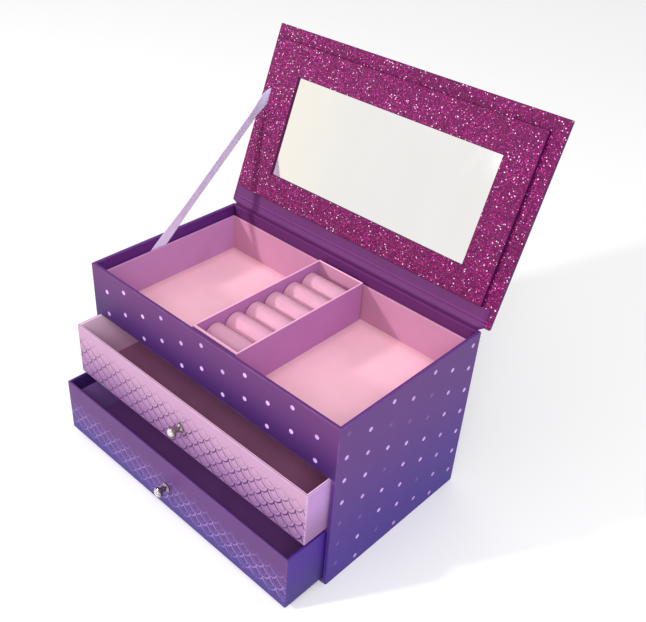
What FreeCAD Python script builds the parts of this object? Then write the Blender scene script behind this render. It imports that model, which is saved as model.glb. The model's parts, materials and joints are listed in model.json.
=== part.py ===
"""Jewellery box of greyboard wrapped in paper: a carcass with a lined tray and a ring box, a lift-up lid
with a framed mirror, a ribbon stay, and two pull-out drawers with small crystal knobs.

Millimetres. The origin is the middle of the underside, +X to the right, +Y to the back, +Z up.
The lid stands open on its ribbon and the drawers are pulled part-way out.
"""
import FreeCAD
import Part
import math
import os

# Carcass: outer size, wall board, horizontal boards, and how far wrapped edges are rounded
WIDTH = 250.0
DEPTH = 145.0
HEIGHT = 142.0
BOARD = 3.0
BASE_BOARD = 3.0
SHELF_BOARD = 1.8
TRAY_BOARD = 2.0
SHELF_SETBACK = 0.5
CORNER_ROUND = 1.3
RIM_ROUND = 0.8
CORNER_SHARE = 0.45
RIM_SHARE = 0.36

# Drawers: heights, boards, running clearances, and how far each is pulled out
LOWER_DRAWER_HEIGHT = 47.0
UPPER_DRAWER_HEIGHT = 44.5
LOWER_DRAWER_OUT = 35.0
UPPER_DRAWER_OUT = 20.5
DRAWER_BOARD = 2.2
DRAWER_FLOOR_BOARD = 1.8
DRAWER_LINING = 0.8
DRAWER_LINING_GAP = 0.3
SIDE_GAP = 1.4
RUN_GAP = 0.3
HEAD_GAP = 0.8
REAR_GAP = 1.5

# Knobs: a turned spool with a crystal in its head, held by a screw and washer from inside
KNOB_LENGTH = 9.0
KNOB_FLANGE_RADIUS = 3.8
KNOB_FLANGE = 1.1
KNOB_NECK_RADIUS = 2.2
KNOB_FLARE = 1.2
KNOB_HEAD_RADIUS = 3.9
KNOB_HEAD = 2.4
KNOB_LIP = 0.5
KNOB_SEAT = 0.8
CRYSTAL_GAP = 0.1
CRYSTAL_CROWN = 1.3
CRYSTAL_TABLE_SHARE = 0.55
CRYSTAL_SIDES = 8
SCREW_RADIUS = 1.5
SCREW_REACH = 4.5
SCREW_HEAD_RADIUS = 2.8
SCREW_HEAD = 1.7
SCREW_SLOT = 0.7
SCREW_TIP_GAP = 0.4
SCREW_CLEARANCE = 0.2
THREAD_CLEARANCE = 0.05
WASHER_RADIUS = 4.5
WASHER = 0.6
KNOB_DROP = 1.8

# Tray liner and ring box
LINER_CARD = 1.5
LINER_GAP = 0.5
LINER_DROP = 9.0
RING_BOX_WIDTH = 44.6
RING_BOX_SHIFT = 2.0
RING_BOX_CARD = 1.2
RING_BOX_FRONT_CARD = 2.4
RING_BOX_DROP = 6.0
RING_BOX_FRONT_GAP = 4.4
RING_BOX_BACK_GAP = 1.2
ROLL_COUNT = 6
ROLL_FRONT_ROOM = 6.1
ROLL_SLIT = 0.4
ROLL_DROP = 6.0
ROLL_END_GAP = 0.5
ROLL_BACK_GAP = 2.5
ROLL_END_EASE = 0.9

# Lid: board, opening angle, paper hinge, mirror frame and mirror
LID_SIDE_OVERHANG = 4.0
LID_FRONT_OVERHANG = 2.0
LID_BOARD = 3.0
LID_ROUND = 0.9
LID_OPEN = 110.6
LID_GAP = 0.8
HINGE_OUT = 1.2
HINGE_UP = 0.6
HINGE_PAPER = 0.4
HINGE_FLANGE = 8.0
STRIP_REACH = 20.0
STRIP_RIGHT_INSET = 4.0
FRAME_BOARD = 3.5
FRAME_SIDE_INSET = 11.0
FRAME_TOP_INSET = 10.1
FRAME_HINGE_INSET = 13.4
FRAME_BORDER = 24.4
FRAME_LOW_BORDER = 20.7
FRAME_ROUND = 0.9
MIRROR_GLASS = 1.5
MIRROR_LAP = 5.0
MIRROR_EDGE_GAP = 0.4
MIRROR_FACE_GAP = 0.1

# Ribbon stay between the left wall and the lid
RIBBON_WIDTH = 10.0
RIBBON = 0.4
RIBBON_FOOT_Y = -11.0
RIBBON_LID_REACH = 92.5
RIBBON_TAIL = 8.0
RIBBON_LOWER_TAIL = 18.0
RIBBON_TURN = 24.0
RIBBON_TURN_STEPS = 4
RIBBON_POCKET_GAP = 0.1
RIBBON_FRAME_GAP = 1.0

# Heights that follow from the stack of boards and drawers
LOWER_DRAWER_Z = BASE_BOARD + RUN_GAP
SHELF_Z = LOWER_DRAWER_Z + LOWER_DRAWER_HEIGHT + HEAD_GAP
UPPER_DRAWER_Z = SHELF_Z + SHELF_BOARD + RUN_GAP
BAY_TOP = UPPER_DRAWER_Z + UPPER_DRAWER_HEIGHT + HEAD_GAP
LINER_FLOOR_Z = BAY_TOP + TRAY_BOARD
TRAY_FLOOR = LINER_FLOOR_Z + LINER_CARD

# Places that several pieces share
INNER_X = WIDTH / 2 - BOARD
INNER_Y = DEPTH / 2 - BOARD
LINER_X = INNER_X - LINER_GAP
LINER_Y = INNER_Y - LINER_GAP
LINER_TOP = HEIGHT - LINER_DROP
LID_WIDTH = WIDTH + 2 * LID_SIDE_OVERHANG
LID_LENGTH = DEPTH + LID_FRONT_OVERHANG
FRAME_HALF = LID_WIDTH / 2 - FRAME_SIDE_INSET
HINGE_Y = DEPTH / 2 + HINGE_OUT
HINGE_Z = HEIGHT + HINGE_UP
LID_EDGE = min(LID_ROUND, RIM_SHARE * LID_BOARD)
CUT_PAST = 1.0
SMALL = 1e-4


def vec(x, y, z):
    return FreeCAD.Vector(x, y, z)


def slab(x0, x1, y0, y1, z0, z1):
    """A rectangular board between two corners."""
    return Part.makeBox(x1 - x0, y1 - y0, z1 - z0, vec(x0, y0, z0))


def moved(shape, x=0.0, y=0.0, z=0.0):
    """A copy of the shape, shifted."""
    copy = shape.copy()
    copy.translate(vec(x, y, z))
    return copy


def prism(points, direction):
    """A straight solid on a closed outline of corner points."""
    outline = Part.makePolygon([*points, points[0]])
    return Part.Face(outline).extrude(direction)


def only_solid(shape):
    """The one solid that a cut or a common part leaves."""
    (solid,) = shape.Solids
    return solid


def corner_round(board):
    """The rounding of an upright corner, limited by the board that carries it."""
    return min(CORNER_ROUND, CORNER_SHARE * board)


def rim_round(board, wanted=RIM_ROUND):
    """The rounding of a rim, smaller than the corner's and limited by the board that carries it."""
    return min(wanted, RIM_SHARE * board)


def flat_edges(shape, z):
    """The edges that lie in the level plane at height z."""
    boxes = [(edge, edge.BoundBox) for edge in shape.Edges]
    return [edge for edge, b in boxes if abs(b.ZMin - z) < SMALL and abs(b.ZMax - z) < SMALL]


def standing_edges(shape, x, y):
    """The upright edges at the four corners (+-x, +-y)."""
    found = []
    for edge in shape.Edges:
        b = edge.BoundBox
        upright = b.XLength < SMALL and b.YLength < SMALL
        if upright and abs(abs(b.XMin) - x) < SMALL and abs(abs(b.YMin) - y) < SMALL:
            found.append(edge)
    return found


def wrapped_block(width, depth, height, board, foot_wrapped):
    """A block on z = 0, centred in plan, with a paper wrap's soft edges; a bare foot stays square."""
    block = slab(-width / 2, width / 2, -depth / 2, depth / 2, 0, height)
    block = block.makeFillet(corner_round(board), standing_edges(block, width / 2, depth / 2))
    edges = flat_edges(block, height)
    if foot_wrapped:
        edges += flat_edges(block, 0)
    return block.makeFillet(rim_round(board), edges)


def wrapped_frame(width, depth, height, board, front_board, foot_wrapped=True):
    """Four walls as one ring on z = 0, centred in plan, with rounded corners and rims."""
    block = wrapped_block(width, depth, height, board, foot_wrapped)
    x = width / 2 - board
    y_front = front_board - depth / 2
    y_back = depth / 2 - board
    ring = block.cut(slab(-x, x, y_front, y_back, -CUT_PAST, height + CUT_PAST))
    rim = [e for e in flat_edges(ring, height) if on_hole(e.BoundBox, x, y_front, y_back)]
    return ring.makeFillet(rim_round(board), rim)


def on_hole(b, x, y_front, y_back):
    """Whether an edge's box lies on the outline of the hole inside a ring."""
    inside = abs(b.Center.x) < x + SMALL and y_front - SMALL < b.Center.y < y_back + SMALL
    on_side = b.XLength < SMALL and abs(abs(b.XMin) - x) < SMALL
    on_end = b.YLength < SMALL and min(abs(b.YMin - y_front), abs(b.YMin - y_back)) < SMALL
    return inside and (on_side or on_end)


def mitre_wedge(width, depth, board, end_board, side, z0, z1):
    """The plan outline that holds the front (side = -1) or back (side = 1) wall, as a standing block.

    The wall is mitred through the thickness of the side boards, and a thicker wall runs on between them.
    """
    x_out = width / 2 + board
    x_in = width / 2 - board
    y_out = side * (depth / 2 + board)
    y_mitre = side * (depth / 2 - board)
    y_in = side * (depth / 2 - end_board - CUT_PAST)
    plan = [(-x_out, y_out), (x_out, y_out), (x_in, y_mitre), (x_in, y_in), (-x_in, y_in), (-x_in, y_mitre)]
    return prism([vec(x, y, z0) for x, y in plan], vec(0, 0, z1 - z0))


def mitred_walls(ring, width, depth, height, board, front_board, front_from=-CUT_PAST):
    """Cuts a ring of walls at its mitred corners; the front wall starts at front_from."""
    front_wedge = mitre_wedge(width, depth, board, front_board, -1, front_from, height + CUT_PAST)
    back_wedge = mitre_wedge(width, depth, board, board, 1, -CUT_PAST, height + CUT_PAST)
    sides = ring.cut(front_wedge).cut(back_wedge).removeSplitter().Solids
    left, right = sorted(sides, key=lambda solid: solid.CenterOfMass.x)
    return {
        "left": left,
        "right": right,
        "front": only_solid(ring.common(front_wedge)),
        "back": only_solid(ring.common(back_wedge)),
    }


def carcass_walls():
    """Side boards, back board and front apron, wrapped as one and joined at mitres."""
    ring = wrapped_frame(WIDTH, DEPTH, HEIGHT, BOARD, BOARD)
    bays = slab(-INNER_X, INNER_X, -DEPTH / 2 - CUT_PAST, BOARD - DEPTH / 2, -CUT_PAST, BAY_TOP)
    walls = mitred_walls(ring.cut(bays), WIDTH, DEPTH, HEIGHT, BOARD, BOARD, BAY_TOP)
    return {
        "left_side_board": walls["left"],
        "right_side_board": walls["right"],
        "front_apron": walls["front"],
        "back_board": walls["back"],
    }


def level_boards():
    """The base, the shelf between the drawers and the board under the tray."""
    shelf_front = SHELF_SETBACK - DEPTH / 2
    return {
        "base_board": slab(-INNER_X, INNER_X, -DEPTH / 2, INNER_Y, 0, BASE_BOARD),
        "drawer_shelf": slab(-INNER_X, INNER_X, shelf_front, INNER_Y, SHELF_Z, SHELF_Z + SHELF_BOARD),
        "tray_board": slab(-INNER_X, INNER_X, -INNER_Y, INNER_Y, BAY_TOP, LINER_FLOOR_Z),
    }


def tray_liner():
    """A lining card on the tray board, and four liner cards that stand on it below the rim."""
    height = LINER_TOP - TRAY_FLOOR
    ring = wrapped_frame(2 * LINER_X, 2 * LINER_Y, height, LINER_CARD, LINER_CARD, foot_wrapped=False)
    walls = mitred_walls(ring, 2 * LINER_X, 2 * LINER_Y, height, LINER_CARD, LINER_CARD)
    pieces = {f"tray_liner_{side}": moved(wall, z=TRAY_FLOOR) for side, wall in walls.items()}
    pieces["tray_liner_floor"] = slab(-LINER_X, LINER_X, -LINER_Y, LINER_Y, LINER_FLOOR_Z, TRAY_FLOOR)
    return pieces


def ring_box_span():
    """Front and back of the ring box, each with its own gap to the liner."""
    inside = LINER_Y - LINER_CARD
    return RING_BOX_FRONT_GAP - inside, inside - RING_BOX_BACK_GAP


def ring_box():
    """Four thin walls across the middle of the tray; the front one is a double card."""
    front, back = ring_box_span()
    depth = back - front
    height = HEIGHT - RING_BOX_DROP - TRAY_FLOOR
    sizes = (RING_BOX_WIDTH, depth, height, RING_BOX_CARD, RING_BOX_FRONT_CARD)
    walls = mitred_walls(wrapped_frame(*sizes, foot_wrapped=False), *sizes)
    middle = (front + back) / 2
    return {f"ring_box_{side}": moved(w, RING_BOX_SHIFT, middle, TRAY_FLOOR) for side, w in walls.items()}


def ring_roll(y, radius):
    """One foam roll across the ring box: a half-round crown on straight sides, eased at its ends."""
    half = RING_BOX_WIDTH / 2 - RING_BOX_CARD - ROLL_END_GAP
    x = RING_BOX_SHIFT - half
    spring = HEIGHT - RING_BOX_DROP - ROLL_DROP - radius
    slant = radius * math.sqrt(0.5)
    foot_front = vec(x, y - radius, TRAY_FLOOR)
    foot_back = vec(x, y + radius, TRAY_FLOOR)
    side_front = vec(x, y - radius, spring)
    side_back = vec(x, y + radius, spring)
    crown = vec(x, y, spring + radius)
    edges = [
        Part.LineSegment(foot_back, foot_front),
        Part.LineSegment(foot_front, side_front),
        Part.Arc(side_front, vec(x, y - slant, spring + slant), crown),
        Part.Arc(crown, vec(x, y + slant, spring + slant), side_back),
        Part.LineSegment(side_back, foot_back),
    ]
    outline = Part.Wire([edge.toShape() for edge in edges])
    roll = Part.Face(outline).extrude(vec(2 * half, 0, 0))
    ends = [e for e in roll.Edges if e.BoundBox.XLength < SMALL and e.BoundBox.ZMax > TRAY_FLOOR + SMALL]
    return roll.makeChamfer(ROLL_END_EASE, ends)


def ring_rolls():
    """The row of equal rolls that shares the ring box, with room in front of the first one."""
    front, back = ring_box_span()
    row_front = front + RING_BOX_FRONT_CARD + ROLL_FRONT_ROOM
    row_back = back - RING_BOX_CARD - ROLL_BACK_GAP
    pitch = (row_back - row_front + ROLL_SLIT) / ROLL_COUNT
    radius = (pitch - ROLL_SLIT) / 2
    first = row_front + radius
    return {f"ring_roll_{i + 1}": ring_roll(first + i * pitch, radius) for i in range(ROLL_COUNT)}


def lid_origin():
    """Where the lid's inner face meets its hinge edge when the lid stands open."""
    angle = math.radians(180 - LID_OPEN)
    reach = -HINGE_OUT
    lift = LID_GAP - HINGE_UP
    y = HINGE_Y - (reach * math.cos(angle) - lift * math.sin(angle))
    z = HINGE_Z - (reach * math.sin(angle) + lift * math.cos(angle))
    return vec(0, y, z)


def lid_placement():
    """From the lid's own frame (x, reach from the hinge edge, height over the inner face) to the box."""
    return FreeCAD.Placement(lid_origin(), FreeCAD.Rotation(vec(1, 0, 0), 180 - LID_OPEN))


def on_lid(shape):
    """A copy of a shape built in the lid's own frame, stood up with the open lid."""
    copy = shape.copy()
    copy.Placement = lid_placement().multiply(copy.Placement)
    return copy


def lid_board():
    """The lid board, wrapped, with its inner face at height 0 of the lid's frame."""
    half = LID_WIDTH / 2
    board = slab(-half, half, 0, LID_LENGTH, -LID_BOARD, 0)
    return board.makeFillet(LID_EDGE, board.Edges)


def frame_window():
    """The mirror window in the lid's frame: half width, lower and upper reach."""
    low = FRAME_HINGE_INSET + FRAME_LOW_BORDER
    high = LID_LENGTH - FRAME_TOP_INSET - FRAME_BORDER
    return FRAME_HALF - FRAME_BORDER, low, high


def mirror_frame():
    """A raised frame board with a window, a rebate behind it for the mirror and a ribbon pocket."""
    x, low, high = frame_window()
    top = LID_LENGTH - FRAME_TOP_INSET
    board = slab(-FRAME_HALF, FRAME_HALF, FRAME_HINGE_INSET, top, 0, FRAME_BOARD)
    frame = board.cut(slab(-x, x, low, high, -CUT_PAST, FRAME_BOARD + CUT_PAST))
    frame = frame.makeFillet(rim_round(FRAME_BOARD, FRAME_ROUND), flat_edges(frame, FRAME_BOARD))
    lap = MIRROR_LAP
    rebate = slab(-x - lap, x + lap, low - lap, high + lap, 0, MIRROR_GLASS + MIRROR_FACE_GAP)
    half = RIBBON_WIDTH / 2 + RIBBON_POCKET_GAP
    pocket = slab(
        -FRAME_HALF,
        RIBBON_TAIL - FRAME_HALF + RIBBON_POCKET_GAP,
        RIBBON_LID_REACH - half,
        RIBBON_LID_REACH + half,
        0,
        RIBBON + RIBBON_POCKET_GAP,
    )
    return only_solid(frame.cut(rebate).cut(pocket))


def mirror():
    """The mirror glass, lying on the lid board inside the frame's rebate."""
    x, low, high = frame_window()
    lap = MIRROR_LAP - MIRROR_EDGE_GAP
    return slab(-x - lap, x + lap, low - lap, high + lap, 0, MIRROR_GLASS)


def hinge_strip():
    """The plain strip on the lid's inner face, from the hinge edge up to and beside the mirror frame."""
    left = LID_EDGE - LID_WIDTH / 2
    right = LID_WIDTH / 2 - STRIP_RIGHT_INSET
    outline = [
        vec(left, LID_EDGE, 0),
        vec(right, LID_EDGE, 0),
        vec(right, STRIP_REACH, 0),
        vec(FRAME_HALF, STRIP_REACH, 0),
        vec(FRAME_HALF, FRAME_HINGE_INSET, 0),
        vec(-FRAME_HALF, FRAME_HINGE_INSET, 0),
        vec(-FRAME_HALF, STRIP_REACH, 0),
        vec(left, STRIP_REACH, 0),
    ]
    return prism(outline, vec(0, 0, HINGE_PAPER))


def hinge_fold():
    """The paper hinge: up the back board, round the hinge axis in an arc, and along the lid's edge face."""
    lean = 180 - LID_OPEN
    wide = HINGE_OUT
    tight = HINGE_OUT - HINGE_PAPER
    foot = HEIGHT - HINGE_FLANGE
    lid_run = LID_BOARD - LID_EDGE + LID_GAP - HINGE_UP

    def about_axis(radius, angle, along=0.0):
        """A point at a radius and angle about the hinge axis, moved along the lid's edge face."""
        y = radius * math.cos(math.radians(angle)) + along * math.sin(math.radians(lean))
        z = radius * math.sin(math.radians(angle)) - along * math.cos(math.radians(lean))
        return vec(-INNER_X, HINGE_Y + y, HINGE_Z + z)

    middle = (180 + lean) / 2
    outer_foot = vec(-INNER_X, HINGE_Y - wide, foot)
    inner_foot = vec(-INNER_X, HINGE_Y - tight, foot)
    outer_start = about_axis(wide, 180)
    outer_end = about_axis(wide, lean)
    inner_start = about_axis(tight, 180)
    inner_end = about_axis(tight, lean)
    outer_tip = about_axis(wide, lean, lid_run)
    inner_tip = about_axis(tight, lean, lid_run)
    edges = [
        Part.LineSegment(outer_foot, outer_start),
        Part.Arc(outer_start, about_axis(wide, middle), outer_end),
        *lines([outer_end, outer_tip, inner_tip, inner_end]),
        Part.Arc(inner_end, about_axis(tight, middle), inner_start),
        *lines([inner_start, inner_foot, outer_foot]),
    ]
    outline = Part.Wire([edge.toShape() for edge in edges])
    return Part.Face(outline).extrude(vec(2 * INNER_X, 0, 0))


def lid():
    """Everything that turns with the lid, and the paper fold that it turns on."""
    return {
        "lid_board": on_lid(lid_board()),
        "mirror_frame": on_lid(mirror_frame()),
        "mirror": on_lid(mirror()),
        "hinge_strip": on_lid(hinge_strip()),
        "stay_ribbon_upper_tail": on_lid(ribbon_upper_tail()),
        "hinge_fold": hinge_fold(),
    }


def ribbon_line():
    """Foot of the ribbon at the liner's top, the point where it meets the lid, and its direction."""
    x = RIBBON / 2 - INNER_X
    foot = vec(x, RIBBON_FOOT_Y, LINER_TOP)
    head = lid_placement().multVec(vec(x, RIBBON_LID_REACH, RIBBON / 2))
    return foot, head, (head - foot).normalize()


def ribbon_section(centre, across, normal):
    """A closed rectangle of the ribbon's width and thickness."""
    a = across * (RIBBON_WIDTH / 2)
    b = normal * (RIBBON / 2)
    corners = [centre + a + b, centre - a + b, centre - a - b, centre + a - b]
    return Part.makePolygon([*corners, corners[0]])


def stay_ribbon():
    """The taut ribbon: flat against the left wall at its foot, turned on to the lid at its head.

    The head runs on a quadratic curve from the ribbon's line to the frame's edge, while the section
    turns from the wall's plane to the lid's plane in equal steps.
    """
    foot, head, along = ribbon_line()
    end = vec(-FRAME_HALF - RIBBON_FRAME_GAP, head.y, head.z)
    start = head - along * RIBBON_TURN
    across = vec(1, 0, 0).cross(along)
    flat_on_wall = FreeCAD.Rotation(along, across, vec(1, 0, 0), "XYZ")
    lid_axes = lid_placement().Rotation
    reach = lid_axes.multVec(vec(0, 1, 0))
    flat_on_lid = FreeCAD.Rotation(vec(1, 0, 0), reach, lid_axes.multVec(vec(0, 0, 1)), "XYZ")
    slanted = vec(0, 1, 0) * (-1 / along.z)
    sections = [ribbon_section(foot, slanted, vec(1, 0, 0))]
    for step in range(RIBBON_TURN_STEPS + 1):
        t = step / RIBBON_TURN_STEPS
        centre = start * (1 - t) ** 2 + head * (2 * t * (1 - t)) + end * t**2
        turn = flat_on_wall.slerp(flat_on_lid, t)
        sections.append(ribbon_section(centre, turn.multVec(vec(0, 1, 0)), turn.multVec(vec(0, 0, 1))))
    return Part.makeLoft(sections, True, True)


def ribbon_lower_tail():
    """The ribbon's end, glued to the left wall behind the liner in line with the ribbon."""
    foot, _, along = ribbon_line()
    half = RIBBON_WIDTH / 2 / along.z
    down = along * (-RIBBON_LOWER_TAIL)
    top_front = vec(-INNER_X, foot.y - half, foot.z)
    top_back = vec(-INNER_X, foot.y + half, foot.z)
    return prism([top_front, top_back, top_back + down, top_front + down], vec(RIBBON, 0, 0))


def ribbon_upper_tail():
    """The ribbon's other end, flat on the lid and glued in the pocket behind the mirror frame."""
    low = RIBBON_LID_REACH - RIBBON_WIDTH / 2
    start = -FRAME_HALF - RIBBON_FRAME_GAP
    return slab(start, RIBBON_TAIL - FRAME_HALF, low, low + RIBBON_WIDTH, 0, RIBBON)


def turned(points):
    """A turned solid from the corners of a closed half outline in the XZ plane."""
    outline = Part.makePolygon([*points, points[0]])
    return Part.Face(outline).revolve(vec(0, 0, 0), vec(0, 0, 1), 360)


def lines(points):
    """Straight edges from each point to the next."""
    return [Part.LineSegment(a, b) for a, b in zip(points, points[1:])]


def knob_body():
    """A turned spool on +Z: base flange, a neck flared at both ends, and a head with the crystal's seat."""
    seat_radius = KNOB_HEAD_RADIUS - KNOB_LIP
    seat_floor = KNOB_LENGTH - KNOB_SEAT
    head_start = KNOB_LENGTH - KNOB_HEAD
    bore_radius = SCREW_RADIUS + THREAD_CLEARANCE
    bore_end = SCREW_REACH + SCREW_TIP_GAP
    outline = [
        vec(bore_radius, 0, 0),
        vec(KNOB_FLANGE_RADIUS, 0, 0),
        vec(KNOB_FLANGE_RADIUS, 0, KNOB_FLANGE),
        vec(KNOB_NECK_RADIUS, 0, KNOB_FLANGE + KNOB_FLARE),
        vec(KNOB_NECK_RADIUS, 0, head_start - KNOB_FLARE),
        vec(KNOB_HEAD_RADIUS, 0, head_start),
        vec(KNOB_HEAD_RADIUS, 0, KNOB_LENGTH - KNOB_LIP),
        vec(seat_radius, 0, KNOB_LENGTH),
        vec(seat_radius, 0, seat_floor),
        vec(0, 0, seat_floor),
        vec(0, 0, bore_end),
        vec(bore_radius, 0, bore_end),
    ]
    return turned(outline)


def crystal():
    """A cut stone in the knob's head: a straight girdle and a crown of flat facets up to its table."""
    radius = KNOB_HEAD_RADIUS - KNOB_LIP - CRYSTAL_GAP

    def ring(r, z):
        angles = [2 * math.pi * i / CRYSTAL_SIDES for i in range(CRYSTAL_SIDES + 1)]
        return Part.makePolygon([vec(r * math.cos(a), r * math.sin(a), z) for a in angles])

    levels = [
        ring(radius, KNOB_LENGTH - KNOB_SEAT),
        ring(radius, KNOB_LENGTH),
        ring(radius * CRYSTAL_TABLE_SHARE, KNOB_LENGTH + CRYSTAL_CROWN),
    ]
    return Part.makeLoft(levels, True, True)


def knob_screw():
    """A slotted screw through the drawer front into the knob, with its head inside the drawer."""
    under_head = -DRAWER_BOARD - WASHER
    top = under_head - SCREW_HEAD
    shank = Part.makeCylinder(SCREW_RADIUS, SCREW_REACH - under_head, vec(0, 0, under_head))
    head = Part.makeCylinder(SCREW_HEAD_RADIUS, SCREW_HEAD, vec(0, 0, top))
    reach = SCREW_HEAD_RADIUS + CUT_PAST
    slot = slab(-reach, reach, -SCREW_SLOT / 2, SCREW_SLOT / 2, top, top + SCREW_HEAD / 2)
    return only_solid(shank.fuse(head).cut(slot).removeSplitter())


def knob_washer():
    """A flat washer between the screw's head and the drawer front."""
    low = vec(0, 0, -DRAWER_BOARD - WASHER)
    disc = Part.makeCylinder(WASHER_RADIUS, WASHER, low)
    return disc.cut(Part.makeCylinder(SCREW_RADIUS + SCREW_CLEARANCE, WASHER, low))


def drawer(name, height, out, z):
    """One drawer: four wrapped walls, a floor board with its lining card, and a knob on the front."""
    x = INNER_X - SIDE_GAP
    depth = DEPTH - BOARD - REAR_GAP
    sizes = (2 * x, depth, height, DRAWER_BOARD, DRAWER_BOARD)
    walls = mitred_walls(wrapped_frame(*sizes), *sizes)
    front = -DEPTH / 2 - out
    inner_x = x - DRAWER_BOARD
    inner_front = front + DRAWER_BOARD
    inner_back = front + depth - DRAWER_BOARD
    floor_top = z + DRAWER_FLOOR_BOARD
    gap = DRAWER_LINING_GAP
    pieces = {f"{name}_drawer_{side}": moved(wall, y=front + depth / 2, z=z) for side, wall in walls.items()}
    pieces[f"{name}_drawer_floor"] = slab(-inner_x, inner_x, inner_front, inner_back, z, floor_top)
    pieces[f"{name}_drawer_lining"] = slab(
        gap - inner_x,
        inner_x - gap,
        inner_front + gap,
        inner_back - gap,
        floor_top,
        floor_top + DRAWER_LINING,
    )
    knob = {
        f"{name}_knob": knob_body(),
        f"{name}_knob_crystal": crystal(),
        f"{name}_knob_screw": knob_screw(),
        f"{name}_knob_washer": knob_washer(),
    }
    centre = vec(0, front, z + height / 2 - KNOB_DROP)
    for piece in knob:
        knob[piece].rotate(vec(0, 0, 0), vec(1, 0, 0), 90)
        knob[piece].translate(centre)
    hole = Part.makeCylinder(SCREW_RADIUS + SCREW_CLEARANCE, DRAWER_BOARD, centre, vec(0, 1, 0))
    pieces[f"{name}_drawer_front"] = only_solid(pieces[f"{name}_drawer_front"].cut(hole))
    return {**pieces, **knob}


def all_pieces():
    """Every piece of the box, by name."""
    return {
        **carcass_walls(),
        **level_boards(),
        **tray_liner(),
        **ring_box(),
        **ring_rolls(),
        **lid(),
        "stay_ribbon": stay_ribbon(),
        "stay_ribbon_lower_tail": ribbon_lower_tail(),
        **drawer("upper", UPPER_DRAWER_HEIGHT, UPPER_DRAWER_OUT, UPPER_DRAWER_Z),
        **drawer("lower", LOWER_DRAWER_HEIGHT, LOWER_DRAWER_OUT, LOWER_DRAWER_Z),
    }


os.makedirs("parts", exist_ok=True)
for name, shape in all_pieces().items():
    shape.exportStep(f"parts/{name}.step")
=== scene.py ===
"""Looks of a paper-wrapped jewellery box: printed papers, a glitter lid with a mirror, a pink ring tray,
a satin ribbon stay, paper hinges and crystal knobs.

Lengths are in metres. The packed model gives every place, and the settings hold what a user would change.
"""
import json
import math
from functools import cached_property, partialmethod, reduce

import bpy
import numpy as np
from bpy.props import FloatProperty, FloatVectorProperty, IntProperty, PointerProperty
from mathutils import Color, Matrix, Vector


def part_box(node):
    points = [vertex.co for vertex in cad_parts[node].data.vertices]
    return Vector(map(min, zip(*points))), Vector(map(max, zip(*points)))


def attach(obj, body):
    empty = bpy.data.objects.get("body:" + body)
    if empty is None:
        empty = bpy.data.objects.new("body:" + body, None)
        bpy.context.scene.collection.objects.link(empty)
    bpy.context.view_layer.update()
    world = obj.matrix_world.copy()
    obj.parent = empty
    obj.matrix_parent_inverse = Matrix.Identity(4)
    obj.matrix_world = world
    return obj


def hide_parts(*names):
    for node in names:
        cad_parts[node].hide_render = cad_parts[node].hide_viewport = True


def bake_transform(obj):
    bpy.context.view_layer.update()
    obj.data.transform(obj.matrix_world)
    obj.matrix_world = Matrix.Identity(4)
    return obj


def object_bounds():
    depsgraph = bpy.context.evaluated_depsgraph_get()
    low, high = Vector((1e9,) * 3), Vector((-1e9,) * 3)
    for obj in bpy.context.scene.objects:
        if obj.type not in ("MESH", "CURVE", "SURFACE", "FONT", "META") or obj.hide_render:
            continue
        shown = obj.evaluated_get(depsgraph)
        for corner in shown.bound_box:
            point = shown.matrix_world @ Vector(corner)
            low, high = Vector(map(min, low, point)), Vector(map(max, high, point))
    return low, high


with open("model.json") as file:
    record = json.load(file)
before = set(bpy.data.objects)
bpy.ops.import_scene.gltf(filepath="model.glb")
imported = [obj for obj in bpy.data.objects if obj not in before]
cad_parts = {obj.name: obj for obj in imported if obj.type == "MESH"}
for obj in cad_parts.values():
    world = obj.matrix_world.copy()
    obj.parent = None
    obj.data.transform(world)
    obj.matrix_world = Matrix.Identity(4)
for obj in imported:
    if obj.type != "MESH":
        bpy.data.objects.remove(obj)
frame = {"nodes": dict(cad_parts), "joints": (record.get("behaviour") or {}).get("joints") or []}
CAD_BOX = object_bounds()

bl_info = {
    "name": "Jewellery Box Looks",
    "version": (1, 0, 0),
    "blender": (4, 5, 0),
    "location": "3D View > Sidebar > Jewellery Box",
    "description": "Finishes a paper-wrapped jewellery box with a mirror lid, a ring tray and two drawers",
    "category": "Object",
}

MM = 0.001

# Places that follow from the packed model
HINGE = next(joint for joint in frame["joints"] if joint["name"] == "lid_hinge")
HINGE_POINT = np.array(HINGE["pos_m"])
LID_LEAN = math.pi - math.radians(HINGE["range_deg"][1])
ACROSS = np.array([1.0, 0.0, 0.0])
LID_ALONG = np.array([0.0, math.cos(LID_LEAN), math.sin(LID_LEAN)])
LID_OUT = np.array([0.0, -math.sin(LID_LEAN), math.cos(LID_LEAN)])
LID_AXES = np.stack([ACROSS, LID_ALONG, LID_OUT], axis=1)

# Nodes that share a finish
CARCASS_WALLS = ("left_side_board", "right_side_board", "front_apron", "back_board")
INNER_BOARDS = ("base_board", "drawer_shelf", "tray_board")
TRAY_WALLS = ("tray_liner_left", "tray_liner_right", "tray_liner_front", "tray_liner_back")
RING_BOX_WALLS = ("ring_box_left", "ring_box_right", "ring_box_front", "ring_box_back")
DRAWER_WALLS = ("front", "back", "left", "right")

# Where most of a noise's values lie, and a narrower middle part
WIDE = (0.3, 0.7)
NARROW = (0.35, 0.65)

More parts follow.
